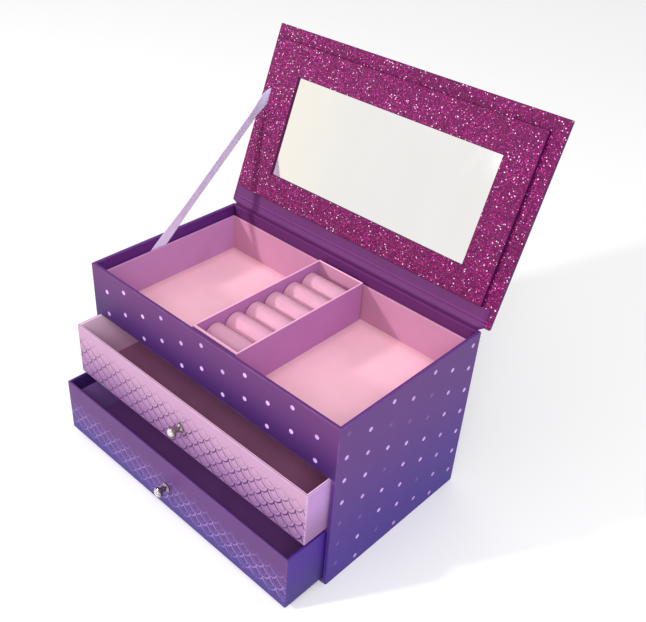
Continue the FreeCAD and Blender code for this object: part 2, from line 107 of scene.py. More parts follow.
# Papers
PAPER_GLOSS = 0.22
PAPER_ROUGHNESS = (0.42, 0.6)  # in the hollows and on the crests of the fibres
FIBRE_RANGE = (0.4, 1.2)  # where most of the fibre heights lie
FIBRE_HEIGHT = 0.03 * MM
FLECKS = 0.12  # usual contrast of the flecks
WEAR_AND_HIGHLIGHT_WIDTH = 0.9 * MM
CARCASS_SKIN = 0.3 * MM  # depth under a face that still takes its print
DRAWER_SKIN = 0.25 * MM
CARCASS_LAP = 0.6  # share of a wall's thickness that keeps the outer paper
DRAWER_LAP = 0.62
OPEN_END = 1.0  # how far a cavity is carried on beyond an open box
CAVITY_BLUR = 0.1 * MM
# the paler fold along a card's top is partly the paper's fold and partly a painted highlight
CARD_TOP_HIGHLIGHT = (0.7 * MM, 0.3 * MM)  # from a card's top down to where its paler fold starts and is full
# share of the floor's colour left where the painted shade along the walls is deepest
DARKEST_FLOOR_SHADE = 0.8

# Dots
DOT_DRAW = 7.0  # which random numbers the dots get
DOT_RIM = (0.86, 1.08)  # where a dot's ink fades, as shares of its radius
DOT_INK = (0.7, 0.95)  # palest and fullest ink
FAINT_DOT = 0.15
FAINT_STEP = 0.01

# Drawers: where the lines fade in and out, as shares of the height from the foot up, and their full strength
DRAWER_LINES = {"upper": ((-0.05, 0.06, 0.52, 0.9), 1.0), "lower": ((0.06, 0.24, 0.42, 0.76), 0.42)}
INNER_ARC, INNER_ARC_INK = 0.56, 0.3  # radius as a share of the scale's, and strength
LINE_RIM = (0.3, 0.75)  # where a line's ink fades, as shares of its width
GROUND_FADE = 0.8  # share of the height over which the ground changes
# height over which the painted shade on the upper drawer's walls fades out
LINING_FADE = 45 * MM
TURN_IN_BLUR = 0.3 * MM

# Rolls
ROLL_ARC, ROLL_SIDE = 33, 6  # points round the crown and up a side
ROLL_END, ROLL_RUN = 9, 41  # points round an end and along
ROLL_INSET, ROLL_SWELL, ROLL_WAVE = 0.25 * MM, 0.15 * MM, 0.05 * MM
ROLL_WAVES, ROLL_STEP, ROLL_SKEW = 1.5, 0.21, 2.0  # waves along, from roll to roll, and radians across
# width of the painted shade at the left end of each roll
ROLL_END_SHADE = 0.7 * MM
NAP_HEIGHT = 0.09 * MM

# Knobs
STONE_SIDES = 12
STONE_RADII = np.array([0.9, 1.0, 1.0, 0.8, 0.52])  # of each ring, as shares of the stone's radius
STONE_HEIGHTS = np.array([0.0, 0.06, 0.4, 0.72, 1.0])  # of each ring, as shares of the stone's height
STONE_TURNS = np.array([0.0, 0.0, 0.0, 0.5, 0.0])  # of each ring, in sides
GLASS_IOR = 1.6
TURNING_MARKS = 0.01 * MM

# Glitter
COARSE_GRAINS = 0.42  # large cells, in which the sparks lie, to the length of a grain
GRAIN_TILT = (0.7, 0.7, 0.7)
GRAIN_ROUGHNESS = (0.6, 0.35)  # of the darkest and the lightest grains
LIGHT_GRAINS = (0.86, 0.97)  # shades over which a grain takes the light colour
GLINT_GRAINS, GLINT = (0.7, 1.0), 0.4  # shades over which a grain turns metallic, and how far
GAP_RIM, GAP_WEIGHT = (0.35, 0.75), 0.5  # where a grain fades into the gap, and how far
# the sparks are painted glints
SPARK_SHARE, LONE_SHARE = (0.9, 0.93), (0.985, 0.992)  # random numbers over which a cell is a spark
SPARK_DRIFT = (0.05, -0.02)  # how far the sparks' share changes over the sheet
SPARK_CORE = (0.14, 0.24)  # where a large cell's spark fades
GLITTER_GLOSS, EDGE_ROUGHNESS = 0.18, 0.55
# below the face the lid shows plain paper, and the mirror frame a painted shade
FACE_FOLD = (0.45 * MM, 0.25 * MM)  # from the face down to where the plain paper is full and ends

# Hinge papers
GLUE_GAP = 0.02 * MM
SIDE_GAP = 0.1 * MM
EDGE_GAP = 0.05 * MM
# Section of the inner paper in millimetres: off the wall and off the back's outer face, each with the height
# off the rim, and beyond the strip's edge on the lid with the height off its face
BEND_AT_WALL = np.array([[0.0, -1.2], [0.1, -0.1], [1.2, 0.05]]) * MM
BEND_AT_BACK = np.array([[-0.6, 0.02], [0.5, -0.12]]) * MM
BEND_AT_LID = np.array([[-0.4, 0.15], [0.8, 0.0]]) * MM
BEND_PASSES = 3
INNER_TUCK = 2 * MM  # from the liner's top down to the inner paper's foot
INNER_START = 1.2 * MM  # from the strip's edge to the first row that lies flat on the lid
WIDEN_FROM, WIDEN_OVER = -0.4 * MM, 2.2 * MM  # off the rim, and the rise over which it widens to the strip
INNER_LIGHT = (-2 * MM, 1 * MM)  # off the rim, where the shaded colour starts to end and has ended
OUTER_LIGHT = (-20 * MM, -10 * MM)  # the same off the outer paper's foot, so all of it is lit
INNER_COLUMNS, INNER_ROWS = 64, 30
OUTER_COLUMNS, OUTER_FOOT, OUTER_ARC, OUTER_TIP = 48, 12, 19, 8
OUTER_STOP = 0.9 * MM  # from the lid's outer face to the end of the outer paper
FOLD_REACH = 2.9 * MM
FOLD_LINE, FOLD_SHADE = (0.25 * MM, 0.6 * MM), 0.5  # where the dark fold line, a painted shade in the crease, fades, and its tone
FOLD_BESIDE, HIGHLIGHT_RIM, HIGHLIGHT_TONE = 1.1 * MM, (0.1 * MM, 0.7 * MM), 1.7  # pale lines beside it, painted highlights
FOLD_RIDGE, FOLD_GROOVE = (0.18, 1.2, 0.4), (-0.14, 2.1, 0.35)  # height, place and width in millimetres
GROOVE_FLOOR = -0.05 * MM

# Ribbon
RIBBON_COLUMNS, RIBBON_TURN, RIBBON_END = 13, 41, 12  # points across, round the turn, along the glued end
CURL_ROWS = 40  # rows over which the curl grows
RIBBON_GAP = 0.03 * MM
RIBBON_SINK = 0.2 * MM  # how far under the hinge axis's level it lies on the lid
FRAME_GAP = 1.0 * MM
SELVEDGE = (0.7 * MM, 0.4 * MM)

# Stage
FLOOR_REACH, FLOOR_POINTS = 6.0, 9
KEY_PLACE, KEY_SIZE = (-0.92, -1.83, 0.95), 0.13
FILL_PLACE, FILL_SIZE = (0.75, -0.8, 1.05), 0.6
CARD_PLACE, CARD_SIZE = (-0.8, -1.13, 0.5), 0.8
CARD_AIM, CARD_TINT = (0.0, 0.1, 0.21), (1.0, 0.99, 0.95)
WHITE = (1.0, 1.0, 1.0)


def corners(*nodes):
    """Lowest and highest corner of the box round some nodes."""
    boxes = np.array([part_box(node) for node in nodes])
    return boxes[:, 0].min(axis=0), boxes[:, 1].max(axis=0)


def thickness(node):
    """Thickness of a board that faces the front."""
    low, high = corners(node)
    return high[1] - low[1]


def lid_corners(node):
    """Lowest and highest corner in the lid's own frame: x, reach from the hinge axis, height over it."""
    mesh = frame["nodes"][node].data
    points = np.empty(len(mesh.vertices) * 3)
    mesh.vertices.foreach_get("co", points)
    own = (points.reshape(-1, 3) - HINGE_POINT) @ LID_AXES
    return own.min(axis=0), own.max(axis=0)


def on_lid(x, reach, height):
    """Points in the box's frame from the lid's own frame."""
    own = np.stack(np.broadcast_arrays(x, reach, height), axis=-1)
    return HINGE_POINT * [0, 1, 1] + own @ LID_AXES.T


def tint(label, description, *rgb):
    """A colour as seen on screen, given in 0 to 255."""
    return FloatVectorProperty(
        name=label, description=description, subtype="COLOR_GAMMA", size=3, min=0.0, max=1.0,
        default=[value / 255 for value in rgb],
    )


def amount(label, description, value, **fields):
    """A number that isn't below zero."""
    return FloatProperty(name=label, description=description, default=value, min=0.0, **fields)


def millimetres(label, description, value):
    """A length in metres, given in millimetres."""
    return amount(label, description, value * MM, unit="LENGTH", precision=5)


def degrees(label, description, value):
    """An angle in radians, given in degrees."""
    return FloatProperty(name=label, description=description, subtype="ANGLE", default=math.radians(value))


class CarcassSettings(bpy.types.PropertyGroup):
    """Printed carcass paper"""

    top: tint("Top", "Paper at the rim of the front and back", 89, 42, 98)
    bottom: tint("Bottom", "Paper at the foot", 64, 38, 130)
    # Painted sheen: the sides' paler, bluer colour stands for the sheen of the white surroundings on them
    side_top: tint("Side top", "Paper at the rim of the sides", 90, 49, 117)
    # Painted shade: the apron's darker foot stands for the shadow it takes over the drawers
    apron_foot: tint("Apron foot", "Paper at the lower edge over the drawers", 60, 28, 88)
    dot: tint("Dots", "Printed dots", 204, 164, 226)
    turn_in: tint("Turn-in", "Paper turned in over the rim", 84, 30, 112)
    board: tint("Inner boards", "Paper on the boards inside", 66, 36, 86)
    # Pale edges: partly rubbed wear, partly painted highlight where folded edges catch the light
    wear: tint("Worn edge", "Paper rubbed pale along folded edges", 128, 88, 152)
    faint_share: amount(
        "Faint dots", "Share of the dots on the sides that are printed faintly", 0.22,
        max=1.0, subtype="FACTOR",
    )
    dot_size: millimetres("Dot size", "Diameter of a dot", 3.6)
    column_pitch: millimetres("Column pitch", "From a column of dots to the next but one", 42.8)
    row_pitch: millimetres("Row pitch", "From a dot to the next in its column", 19.7)
    first_row: millimetres("First row", "From the rim down to the first row of dots", 7.6)
    side_column: millimetres("Side column", "From the middle of a side forwards to a column of dots", 64.3)


class TraySettings(bpy.types.PropertyGroup):
    """Pink tray papers and rolls"""

    floor: tint("Floor", "Paper on the tray's floor", 255, 198, 214)
    # Painted shade: the walls, the back and the ring box take darker, more mauve copies of the floor's pink,
    # for their shade and the purple light bounced on to them
    wall: tint("Walls", "Paper on the liner cards", 191, 135, 187)
    back: tint("Back", "Paper on the liner card at the back", 190, 131, 160)
    ring_box: tint("Ring box", "Paper on the ring box", 185, 120, 180)
    # Paler folds and edges of the cards: partly the paper's fold and wear, partly painted highlight
    edge: tint("Edges", "Folded edges of the cards", 240, 178, 210)
    # Painted shade at the left ends of the ring rolls, by the ring box's wall
    tuck: tint("Tucked ends", "Cloth tucked in at the left ends of the ring rolls", 118, 58, 104)
    suede: tint("Rolls", "Suede cloth on the ring rolls", 214, 156, 182)
    # Painted shade on the floor paper along the walls and the ring box, and how far it reaches
    dull_reach: millimetres("Dull edge", "Width of the duller floor paper along the walls", 9.0)
    end_round: millimetres("Roll end", "Rounding at the ends of a roll", 0.5)


class DrawerSettings(bpy.types.PropertyGroup):
    """Drawer papers and linings"""

    upper: tint("Upper", "Paper on the upper drawer", 171, 132, 162)
    upper_foot: tint("Upper foot", "Paper at the foot of the upper drawer", 140, 101, 147)
    upper_side: tint("Upper side", "Paper on the sides of the upper drawer", 176, 135, 193)
    upper_line: tint("Upper lines", "Printed lines on the upper drawer", 62, 20, 82)
    upper_inside: tint("Upper inside", "Lining of the upper drawer's walls", 252, 215, 240)
    # Painted shade: the upper drawer's walls deepen towards the floor
    upper_low: tint("Upper low", "Lining of the upper drawer's walls at their foot", 236, 184, 218)
    upper_floor: tint("Upper floor", "Lining card of the upper drawer", 172, 109, 148)
    lower: tint("Lower", "Paper on the lower drawer", 84, 46, 103)
    lower_foot: tint("Lower foot", "Paper at the foot of the lower drawer", 62, 45, 116)
    lower_side: tint("Lower side", "Paper on the sides of the lower drawer", 65, 29, 132)
    lower_line: tint("Lower lines", "Printed lines on the lower drawer", 186, 146, 210)
    lower_inside: tint("Lower inside", "Lining of the lower drawer's walls", 154, 112, 190)
    lower_floor: tint("Lower floor", "Lining card of the lower drawer", 144, 86, 166)
    # Pale edges of the drawers: partly rubbed wear, partly painted highlight
    upper_wear: tint("Upper worn edge", "Paper rubbed pale on the upper drawer", 236, 204, 226)
    lower_wear: tint("Lower worn edge", "Paper rubbed pale on the lower drawer", 132, 96, 156)
    turn_in: tint("Turn-in", "Dark paper turned in at the lower drawer's rim", 60, 30, 96)
    turn_in_depth: millimetres("Turn-in depth", "How far that paper reaches down", 13.0)
    line_pitch: millimetres("Pattern pitch", "From a printed scale to the next in its row", 12.4)
    line_start: millimetres("Pattern start", "From a drawer's foot up to the first row", 1.2)
    line_width: millimetres("Line width", "Width of a printed line", 1.0)


class LidSettings(bpy.types.PropertyGroup):
    """Glitter paper, mirror and paper hinges"""

    glitter: tint("Glitter", "Glitter paper", 134, 10, 94)
    glitter_dark: tint("Glitter gaps", "Between the grains", 74, 6, 60)
    glitter_light: tint("Glitter lights", "Bright grains", 218, 62, 164)
    # Painted glints: the sparks' near-white colour stands for light glinting off the glitter
    spark: tint("Sparks", "Brightest grains", 255, 232, 250)
    grain: millimetres("Grain", "Size of a glitter grain", 0.62)
    lid_edge: tint("Lid edge", "Plain paper on the lid's edges and outer face", 66, 34, 92)
    # Painted shade on the sides of the mirror frame
    frame_edge: tint("Frame edge", "Folded paper on the sides of the mirror frame", 70, 8, 66)
    hinge: tint("Hinge", "Plain hinge paper", 92, 31, 94)
    hinge_shade: tint("Hinge shade", "Hinge paper inside the back wall", 86, 31, 89)
    hinge_paper: millimetres("Hinge paper", "Thickness of the hinge paper", 0.3)
    mirror: tint("Mirror", "Silvered glass", 246, 245, 243)
    # Painted reflection: a warmer silver at the mirror's left end
    mirror_warm: tint("Warm mirror", "Silver at the left end of the mirror", 255, 250, 240)


class RibbonSettings(bpy.types.PropertyGroup):
    """Satin ribbon stay"""

    satin: tint("Satin", "Ribbon", 228, 220, 254)
    edge: tint("Selvedge", "Woven edges of the ribbon", 208, 194, 240)
    width: millimetres("Width", "Width of the ribbon", 10.0)
    thickness: millimetres("Thickness", "Thickness of the ribbon", 0.3)
    foot_reach: millimetres("Foot", "From the box's middle forwards to the ribbon's foot", 11.0)
    lid_reach: millimetres("Head", "From the hinge axis to the ribbon's middle on the lid", 93.7)
    turn: millimetres("Turn", "Length over which the ribbon turns on to the lid", 24.0)
    twist: degrees("Twist", "How far the free ribbon turns about its own length", 14.0)
    twist_run: millimetres("Twist run", "Length over which it takes up that turn", 45.0)
    lower_tail: millimetres("Lower tail", "Glued end behind the liner card", 18.0)
    cup: millimetres("Cup", "How far the ribbon's edges curl", 0.25)
    steps: IntProperty(name="Steps", description="Sections along the ribbon", default=160, min=20, max=400)


class KnobSettings(bpy.types.PropertyGroup):
    """Chrome knobs with stones"""

    chrome: tint("Chrome", "Plated knob", 158, 148, 150)
    stone: tint("Stone", "Cut stone", 255, 250, 252)
    steel: tint("Steel", "Screw and washer", 176, 174, 178)


class StageSettings(bpy.types.PropertyGroup):
    """Camera, floor and light"""

    azimuth: degrees("Azimuth", "Camera turned round from the front", 43.162)
    elevation: degrees("Elevation", "Camera above the level", 35.424)
    roll: degrees("Roll", "Camera turned about its line of sight", 2.651)
    eye: FloatVectorProperty(
        name="Eye", description="Place of the camera", subtype="XYZ", unit="LENGTH", size=3,
        default=(0.3552, -0.3703, 0.4860),
    )
    lens: amount("Lens", "Focal length", 48.16, unit="CAMERA")
    shift: FloatVectorProperty(
        name="Shift", description="Lens shift of the frame", size=2, default=(0.0588, 0.0139)
    )
    floor: tint("Floor", "Floor under the box", 248, 248, 248)
    sky: amount("Sky", "Strength of the light from all round", 0.85)
    key: amount("Key", "Power of the main lamp", 26.0, unit="POWER")
    fill: amount("Fill", "Power of the lamp by the camera", 9.0, unit="POWER")
    card: amount("Card", "Power of the white card in the mirror", 0.2, unit="POWER")


def part_of(kind, label):
    """The settings of one part of the box."""
    return PointerProperty(type=kind, name=label, description=kind.__doc__)


class JewelleryBoxSettings(bpy.types.PropertyGroup):
    """All settings of the box"""

    carcass: part_of(CarcassSettings, "Carcass")
    tray: part_of(TraySettings, "Tray")
    drawers: part_of(DrawerSettings, "Drawers")
    lid: part_of(LidSettings, "Lid")
    ribbon: part_of(RibbonSettings, "Ribbon")
    knobs: part_of(KnobSettings, "Knobs")
    stage: part_of(StageSettings, "Stage")


def linear(colour, share=1.0):
    """A screen colour as a share of its linear light, by the sRGB formula, with full alpha."""
    c = np.array(colour[:3], float)
    light = np.where(c <= 0.04045, c / 12.92, ((c + 0.055) / 1.055) ** 2.4)
    return (*(share * light).tolist(), 1.0)


def tones(colour, deep):
    """A deeper tone, at a share of the colour's light, and the colour."""
    return linear(colour, deep), linear(colour)


class Graph:
    """A node tree that is being built: each method adds nodes, joins their inputs and returns an output."""

    def __init__(self, tree):
        self.tree = tree

    def join(self, value, socket):
        """Links an output to a socket, or sets the socket to a value or to a colour of the settings."""
        if isinstance(value, bpy.types.NodeSocket):
            self.tree.links.new(value, socket)
        else:
            socket.default_value = linear(value) if isinstance(value, Color) else value

    def fill(self, node, inputs):
        for key, value in inputs.items():
            self.join(value, node.inputs[key])
        return node

    def node(self, kind, inputs=(), **fields):
        made = self.tree.nodes.new(kind)
        for field, value in fields.items():
            setattr(made, field, value)
        return self.fill(made, dict(inputs))

    def math(self, operation, *values):
        return self.node("ShaderNodeMath", enumerate(values), operation=operation).outputs[0]

    def chain(self, operation, *values):
        """One operation on all the values, from the first to the last."""
        return reduce(lambda a, b: self.math(operation, a, b), values)

    plus = partialmethod(chain, "ADD")
    minus = partialmethod(chain, "SUBTRACT")
    times = partialmethod(chain, "MULTIPLY")
    over = partialmethod(chain, "DIVIDE")
    least = partialmethod(chain, "MINIMUM")
    most = partialmethod(chain, "MAXIMUM")
    absolute = partialmethod(math, "ABSOLUTE")

    def vector(self, operation, *values, output=0):
        return self.node("ShaderNodeVectorMath", enumerate(values), operation=operation).outputs[output]

    def length(self, x, y):
        return self.vector("LENGTH", self.merge(x, y, 0.0), output="Value")

    def split(self, vector):
        return self.node("ShaderNodeSeparateXYZ", {0: vector}).outputs

    def merge(self, x, y, z):
        return self.node("ShaderNodeCombineXYZ", {0: x, 1: y, 2: z}).outputs[0]

    def span(self, value, low, high, start=0.0, end=1.0, kind="LINEAR"):
        """From start to end as the value goes from low to high, and no further."""
        inputs = {"Value": value, "From Min": low, "From Max": high, "To Min": start, "To Max": end}
        return self.node("ShaderNodeMapRange", inputs, clamp=True, interpolation_type=kind).outputs[0]

    smooth = partialmethod(span, kind="SMOOTHSTEP")

    def between(self, factor, a, b):
        return self.node("ShaderNodeMix", {0: factor, 2: a, 3: b}, data_type="FLOAT").outputs[0]

    def mix(self, factor, a, b, blend="MIX"):
        inputs = {0: factor, 6: a, 7: b}
        return self.node("ShaderNodeMix", inputs, data_type="RGBA", blend_type=blend).outputs[2]

    def dim(self, colour, share):
        """A colour times a value."""
        return self.mix(1.0, colour, self.merge(share, share, share), "MULTIPLY")

    def noise(self, size, detail=2.0, roughness=0.5, stretch=None):
        """Noise of a feature size over the graph's position, whose axes may be stretched."""
        place = self.vector("MULTIPLY", self.position, stretch) if stretch else self.position
        inputs = {"Vector": place, "Scale": 1 / size, "Detail": detail, "Roughness": roughness}
        return self.node("ShaderNodeTexNoise", inputs).outputs["Fac"]

    def bump(self, height, distance):
        """Normal of a surface raised by a height that is 0 to 1 times a distance."""
        inputs = {"Height": height, "Distance": distance, "Strength": 1.0}
        return self.node("ShaderNodeBump", inputs).outputs[0]

    def use(self, build, **inputs):
        """A shared shader group, built at its first use and then found again, with its inputs set by name."""
        group = bpy.data.node_groups.get(build.__name__) or build(build.__name__)
        named = {key.replace("_", " ").capitalize(): value for key, value in inputs.items()}
        return self.node("ShaderNodeGroup", named, node_tree=group).outputs


class Finish(Graph):
    """The graph of a new material."""

    def __init__(self, name):
        self.material = bpy.data.materials.new(name)
        self.material.use_nodes = True
        super().__init__(self.material.node_tree)

    @cached_property
    def position(self):
        """The piece's own coordinates."""
        return self.node("ShaderNodeTexCoord").outputs["Object"]

    @cached_property
    def axes(self):
        return self.split(self.position)

    def done(self, inputs):
        """Joins or sets the shader's sockets by name, and returns the material."""
        self.fill(self.tree.nodes["Principled BSDF"], inputs)
        return self.material


VECTOR_SOCKETS = {"Position", "Low", "High", "Normal"}


def new_group(name, inputs, outputs):
    """A shader group with named sockets: its graph, its inputs, and a function that joins its outputs."""
    tree = bpy.data.node_groups.new(name, "ShaderNodeTree")
    for side, labels in (("INPUT", inputs), ("OUTPUT", outputs)):
        for label in labels:
            kind = "Vector" if label in VECTOR_SOCKETS else "Float"
            tree.interface.new_socket(label, in_out=side, socket_type=f"NodeSocket{kind}")
    graph = Graph(tree)
    ins = graph.node("NodeGroupInput").outputs
    graph.position = ins.get("Position")

    def end(**values):
        graph.node("NodeGroupOutput", values)
        return tree

    return graph, ins, end


def box_distance(name):
    """How deep a point lies in a box: the least and the middle of its distances to the pairs of faces."""
    graph, ins, end = new_group(name, ("Position", "Low", "High"), ("Inside", "Edge"))
    from_low = graph.vector("SUBTRACT", ins["Position"], ins["Low"])
    from_high = graph.vector("SUBTRACT", ins["High"], ins["Position"])
    a, b, c = graph.split(graph.vector("MINIMUM", from_low, from_high))
    less = graph.least(a, b)
    return end(Inside=graph.least(less, c), Edge=graph.most(less, graph.least(graph.most(a, b), c)))


def paper_grain(name):
    """Paper fibres: a tone round 1 from cloudy flecks, and a fine fibre height."""
    graph, ins, end = new_group(name, ("Position", "Contrast"), ("Tone", "Height"))
    cloud = graph.noise(22 * MM, 4.0)
    fleck = graph.noise(1.1 * MM, 5.0, 0.65)
    fibre = graph.noise(0.45 * MM, 4.0, 0.7)
    swing = graph.times(graph.minus(graph.plus(cloud, fleck), 1.0), ins["Contrast"])
    return end(Tone=graph.plus(swing, 1.0), Height=graph.plus(fibre, graph.times(fleck, 0.6)))


def polka_dots(name):
    """Two lattices of dots, one half a pitch off the other both ways, and a random number for each dot."""
    graph, ins, end = new_group(
        name, ("Across", "Up", "Column pitch", "Row pitch", "Radius"), ("Mask", "Number")
    )
    half_column, half_row = graph.times(ins["Column pitch"], 0.5), graph.times(ins["Row pitch"], 0.5)
    across = graph.math("PINGPONG", ins["Across"], half_column)
    up = graph.math("PINGPONG", ins["Up"], half_row)
    second = graph.length(graph.minus(half_column, across), graph.minus(half_row, up))
    nearest = graph.over(graph.least(graph.length(across, up), second), ins["Radius"])
    column = graph.math("ROUND", graph.over(ins["Across"], half_column))
    row = graph.math("ROUND", graph.over(ins["Up"], half_row))
    number = graph.node("ShaderNodeTexWhiteNoise", {"Vector": graph.merge(column, row, DOT_DRAW)})
    return end(Mask=graph.smooth(nearest, *DOT_RIM, 1.0, 0.0), Number=number.outputs["Value"])


def fish_scales(name):
    """Fish-scale lines: rows of hanging half circles of radius R = pitch / 2, each half a pitch off the next.

    With s across from a scale's middle and v up from the foot of its row, a point belongs to the scale over
    it where hypot(s, v - R) < R, and else to one of the row below, at hypot(R - |s|, v) from its middle. The
    lines are the outline at R and a fainter arc inside at a share of R.
    """
    graph, ins, end = new_group(name, ("Across", "Up", "Pitch", "Width"), ("Mask",))
    radius = graph.times(ins["Pitch"], 0.5)
    row = graph.math("FLOOR", graph.over(ins["Up"], radius))
    up = graph.minus(ins["Up"], graph.times(row, radius))
    shifted = graph.math("MULTIPLY_ADD", row, radius, ins["Across"])
    side = graph.math("WRAP", shifted, radius, graph.times(radius, -1.0))
    own = graph.length(side, graph.minus(up, radius))
    lower = graph.length(graph.minus(radius, graph.absolute(side)), up)
    nearest = graph.between(graph.math("LESS_THAN", own, radius), lower, own)

    def line(distance, share, weight):
        """A soft-edged line where the distance is a share of the radius."""
        off = graph.absolute(graph.minus(distance, graph.times(radius, share)))
        return graph.smooth(graph.over(off, ins["Width"]), *LINE_RIM, weight, 0.0)

    return end(Mask=graph.most(line(own, 1.0, 1.0), line(nearest, INNER_ARC, INNER_ARC_INK)))


def glitter_grains(name):
    """Glitter grains: cells with a random shade, a random tilt, and a few bright sparks where glints are
    painted.
    """
    graph, ins, end = new_group(name, ("Position", "Grain"), ("Shade", "Spark", "Gap", "Normal"))

    def cells(scale):
        inputs = {"Vector": ins["Position"], "Scale": scale, "Randomness": 1.0}
        return graph.node("ShaderNodeTexVoronoi", inputs).outputs

    scale = graph.over(1.0, ins["Grain"])
    fine, large = cells(scale), cells(graph.times(scale, COARSE_GRAINS))
    shade, lot, _ = graph.split(fine["Color"])
    drift = graph.span(graph.noise(35 * MM), *NARROW, *SPARK_DRIFT)
    chosen = graph.smooth(graph.minus(graph.split(large["Color"])[1], drift), *SPARK_SHARE)
    core = graph.smooth(large["Distance"], *SPARK_CORE, 1.0, 0.0)
    lone = graph.smooth(lot, *LONE_SHARE)
    middle = graph.vector("SUBTRACT", fine["Color"], (0.5, 0.5, 0.5))
    tilt = graph.vector("MULTIPLY", middle, GRAIN_TILT)
    flat = graph.node("ShaderNodeNewGeometry").outputs["Normal"]
    return end(
        Shade=shade,
        Spark=graph.most(graph.times(chosen, core), lone),
        Gap=graph.smooth(fine["Distance"], *GAP_RIM),
        Normal=graph.vector("NORMALIZE", graph.vector("ADD", flat, tilt)),
    )


def dress(node, material):
    """Gives a node of the packed model its finish."""
    mesh = frame["nodes"][node].data
    mesh.materials.clear()
    mesh.materials.append(material)


def paper(graph, grain, colour, height):
    """Ends a paper's material: its colour, a roughness from the fibres, little gloss and a bump."""
    return graph.done({
        "Base Color": colour,
        "Roughness": graph.span(grain["Height"], *FIBRE_RANGE, *PAPER_ROUGHNESS),
        "Specular IOR Level": PAPER_GLOSS,
        "Normal": graph.bump(height, FIBRE_HEIGHT),
    })


def wrap(node, paint, wear, worn=0.55, contrast=FLECKS):
    """Wraps a node in paper: its print, cloudy fibres, pale edges of the board's box that are partly rubbed
    wear and partly painted highlight, and a bump.

    paint(graph) returns the print's colour.
    """
    low, high = corners(node)
    graph = Finish(f"{node}_paper")
    grain = graph.use(paper_grain, position=graph.position, contrast=contrast)
    edge = graph.use(box_distance, position=graph.position, low=low, high=high)["Edge"]
    patchy = graph.span(graph.noise(7 * MM, 4.0), *NARROW, 0.25, 1.0)
    # pale edges: partly rubbed wear, partly painted highlight
    rubbed_and_lit = graph.times(graph.smooth(edge, 0.0, WEAR_AND_HIGHLIGHT_WIDTH, worn, 0.0), patchy)
    toned = graph.dim(paint(graph), grain["Tone"])
    dress(node, paper(graph, grain, graph.mix(rubbed_and_lit, toned, wear), grain["Height"]))


def plain(colour):
    """Paper of one colour with faint clouds."""
    return lambda graph: graph.mix(graph.span(graph.noise(40 * MM), *WIDE), *tones(colour, 0.9))


def inside_mask(graph, low, high, lap):
    """1 in the cavity of an open box whose outer paper laps over a part of its rim, 0 outside it."""
    inset = np.array([lap, lap, -OPEN_END])
    inside = graph.use(box_distance, position=graph.position, low=low + inset, high=high - inset)["Inside"]
    return graph.smooth(inside, -CAVITY_BLUR, CAVITY_BLUR)


def carcass_print(settings, node):
    """Purple print that changes towards the foot, with staggered dots outside and dark paper turned in.
    The front apron's foot is darker still, a painted shade over the drawers.

    The sides have their own rim colour, paler and bluer with painted sheen, and their own dot columns, and a
    share of their dots is printed faintly.
    """
    low, high = corners(*CARCASS_WALLS)
    side = node.endswith("side_board")
    across, outer = (1, 0) if side else (0, 1)
    column, faint = (-settings.side_column, settings.faint_share) if side else (0.0, 0.0)
    # on the sides the rim colour is a painted sheen
    top = settings.side_top if side else settings.top
    # the front apron's foot colour is a painted shade over the drawers
    foot = settings.apron_foot if node == "front_apron" else settings.bottom
    foot_height = corners(node)[0][2]

    def paint(graph):
        up = graph.axes[2]
        ground = graph.mix(graph.smooth(up, foot_height, high[2]), foot, top)
        dots = graph.use(
            polka_dots,
            across=graph.minus(graph.axes[across], column),
            up=graph.minus(up, high[2] - settings.first_row),
            column_pitch=settings.column_pitch,
            row_pitch=settings.row_pitch,
            radius=settings.dot_size / 2,
        )
        on_face = graph.math("GREATER_THAN", graph.absolute(graph.axes[outer]), high[outer] - CARCASS_SKIN)
        pale = graph.span(graph.noise(26 * MM, 0.0), 0.38, 0.52, *DOT_INK)
        weight = graph.smooth(dots["Number"], faint - FAINT_STEP, faint, FAINT_DOT, 1.0)
        printed = graph.mix(graph.times(dots["Mask"], on_face, pale, weight), ground, settings.dot)
        inside = inside_mask(graph, low, high, CARCASS_LAP * thickness("front_apron"))
        return graph.mix(inside, printed, settings.turn_in)

    return paint


class JEWELBOX_OT_carcass(bpy.types.Operator):
    """Wrap the carcass in printed paper"""

    bl_idname = "jewelbox.carcass"
    bl_label = "Carcass papers"

    def execute(self, context):
        settings = context.scene.jewellery_box.carcass
        for node in CARCASS_WALLS:
            wrap(node, carcass_print(settings, node), settings.wear)
        for node in INNER_BOARDS:
            wrap(node, plain(settings.board), settings.wear)
        return {"FINISHED"}


def with_top_highlight(colour, edge, top):
    """Paper of one colour with a paler band along its top edge, partly the paper's fold and partly a painted
    highlight.
    """

    def paint(graph):
        start, full = (top - depth for depth in CARD_TOP_HIGHLIGHT)
        return graph.mix(graph.smooth(graph.axes[2], start, full), plain(colour)(graph), edge)

    return paint


def floor_paint(settings):
    """Floor paper with painted shade: darker within a few millimetres of the liner and of the ring box."""
    low, high = corners(*TRAY_WALLS)
    ring_low, ring_high = corners(*RING_BOX_WALLS)
    card = corners("tray_liner_left")[1][0] - low[0]
    ring_middle, ring_half = (ring_low[0] + ring_high[0]) / 2, (ring_high[0] - ring_low[0]) / 2

    def paint(graph):
        x, y, _ = graph.axes
        nearest = graph.least(
            graph.minus(graph.absolute(graph.minus(x, ring_middle)), ring_half),
            graph.minus(high[0] - card, x),
            graph.minus(x, low[0] + card),
            graph.minus(high[1] - card, y),
        )
        # painted shade: darker towards the walls and the ring box
        wall_shade = graph.smooth(nearest, 0.0, settings.dull_reach, DARKEST_FLOOR_SHADE, 1.0)
        return graph.dim(plain(settings.floor)(graph), wall_shade)

    return paint


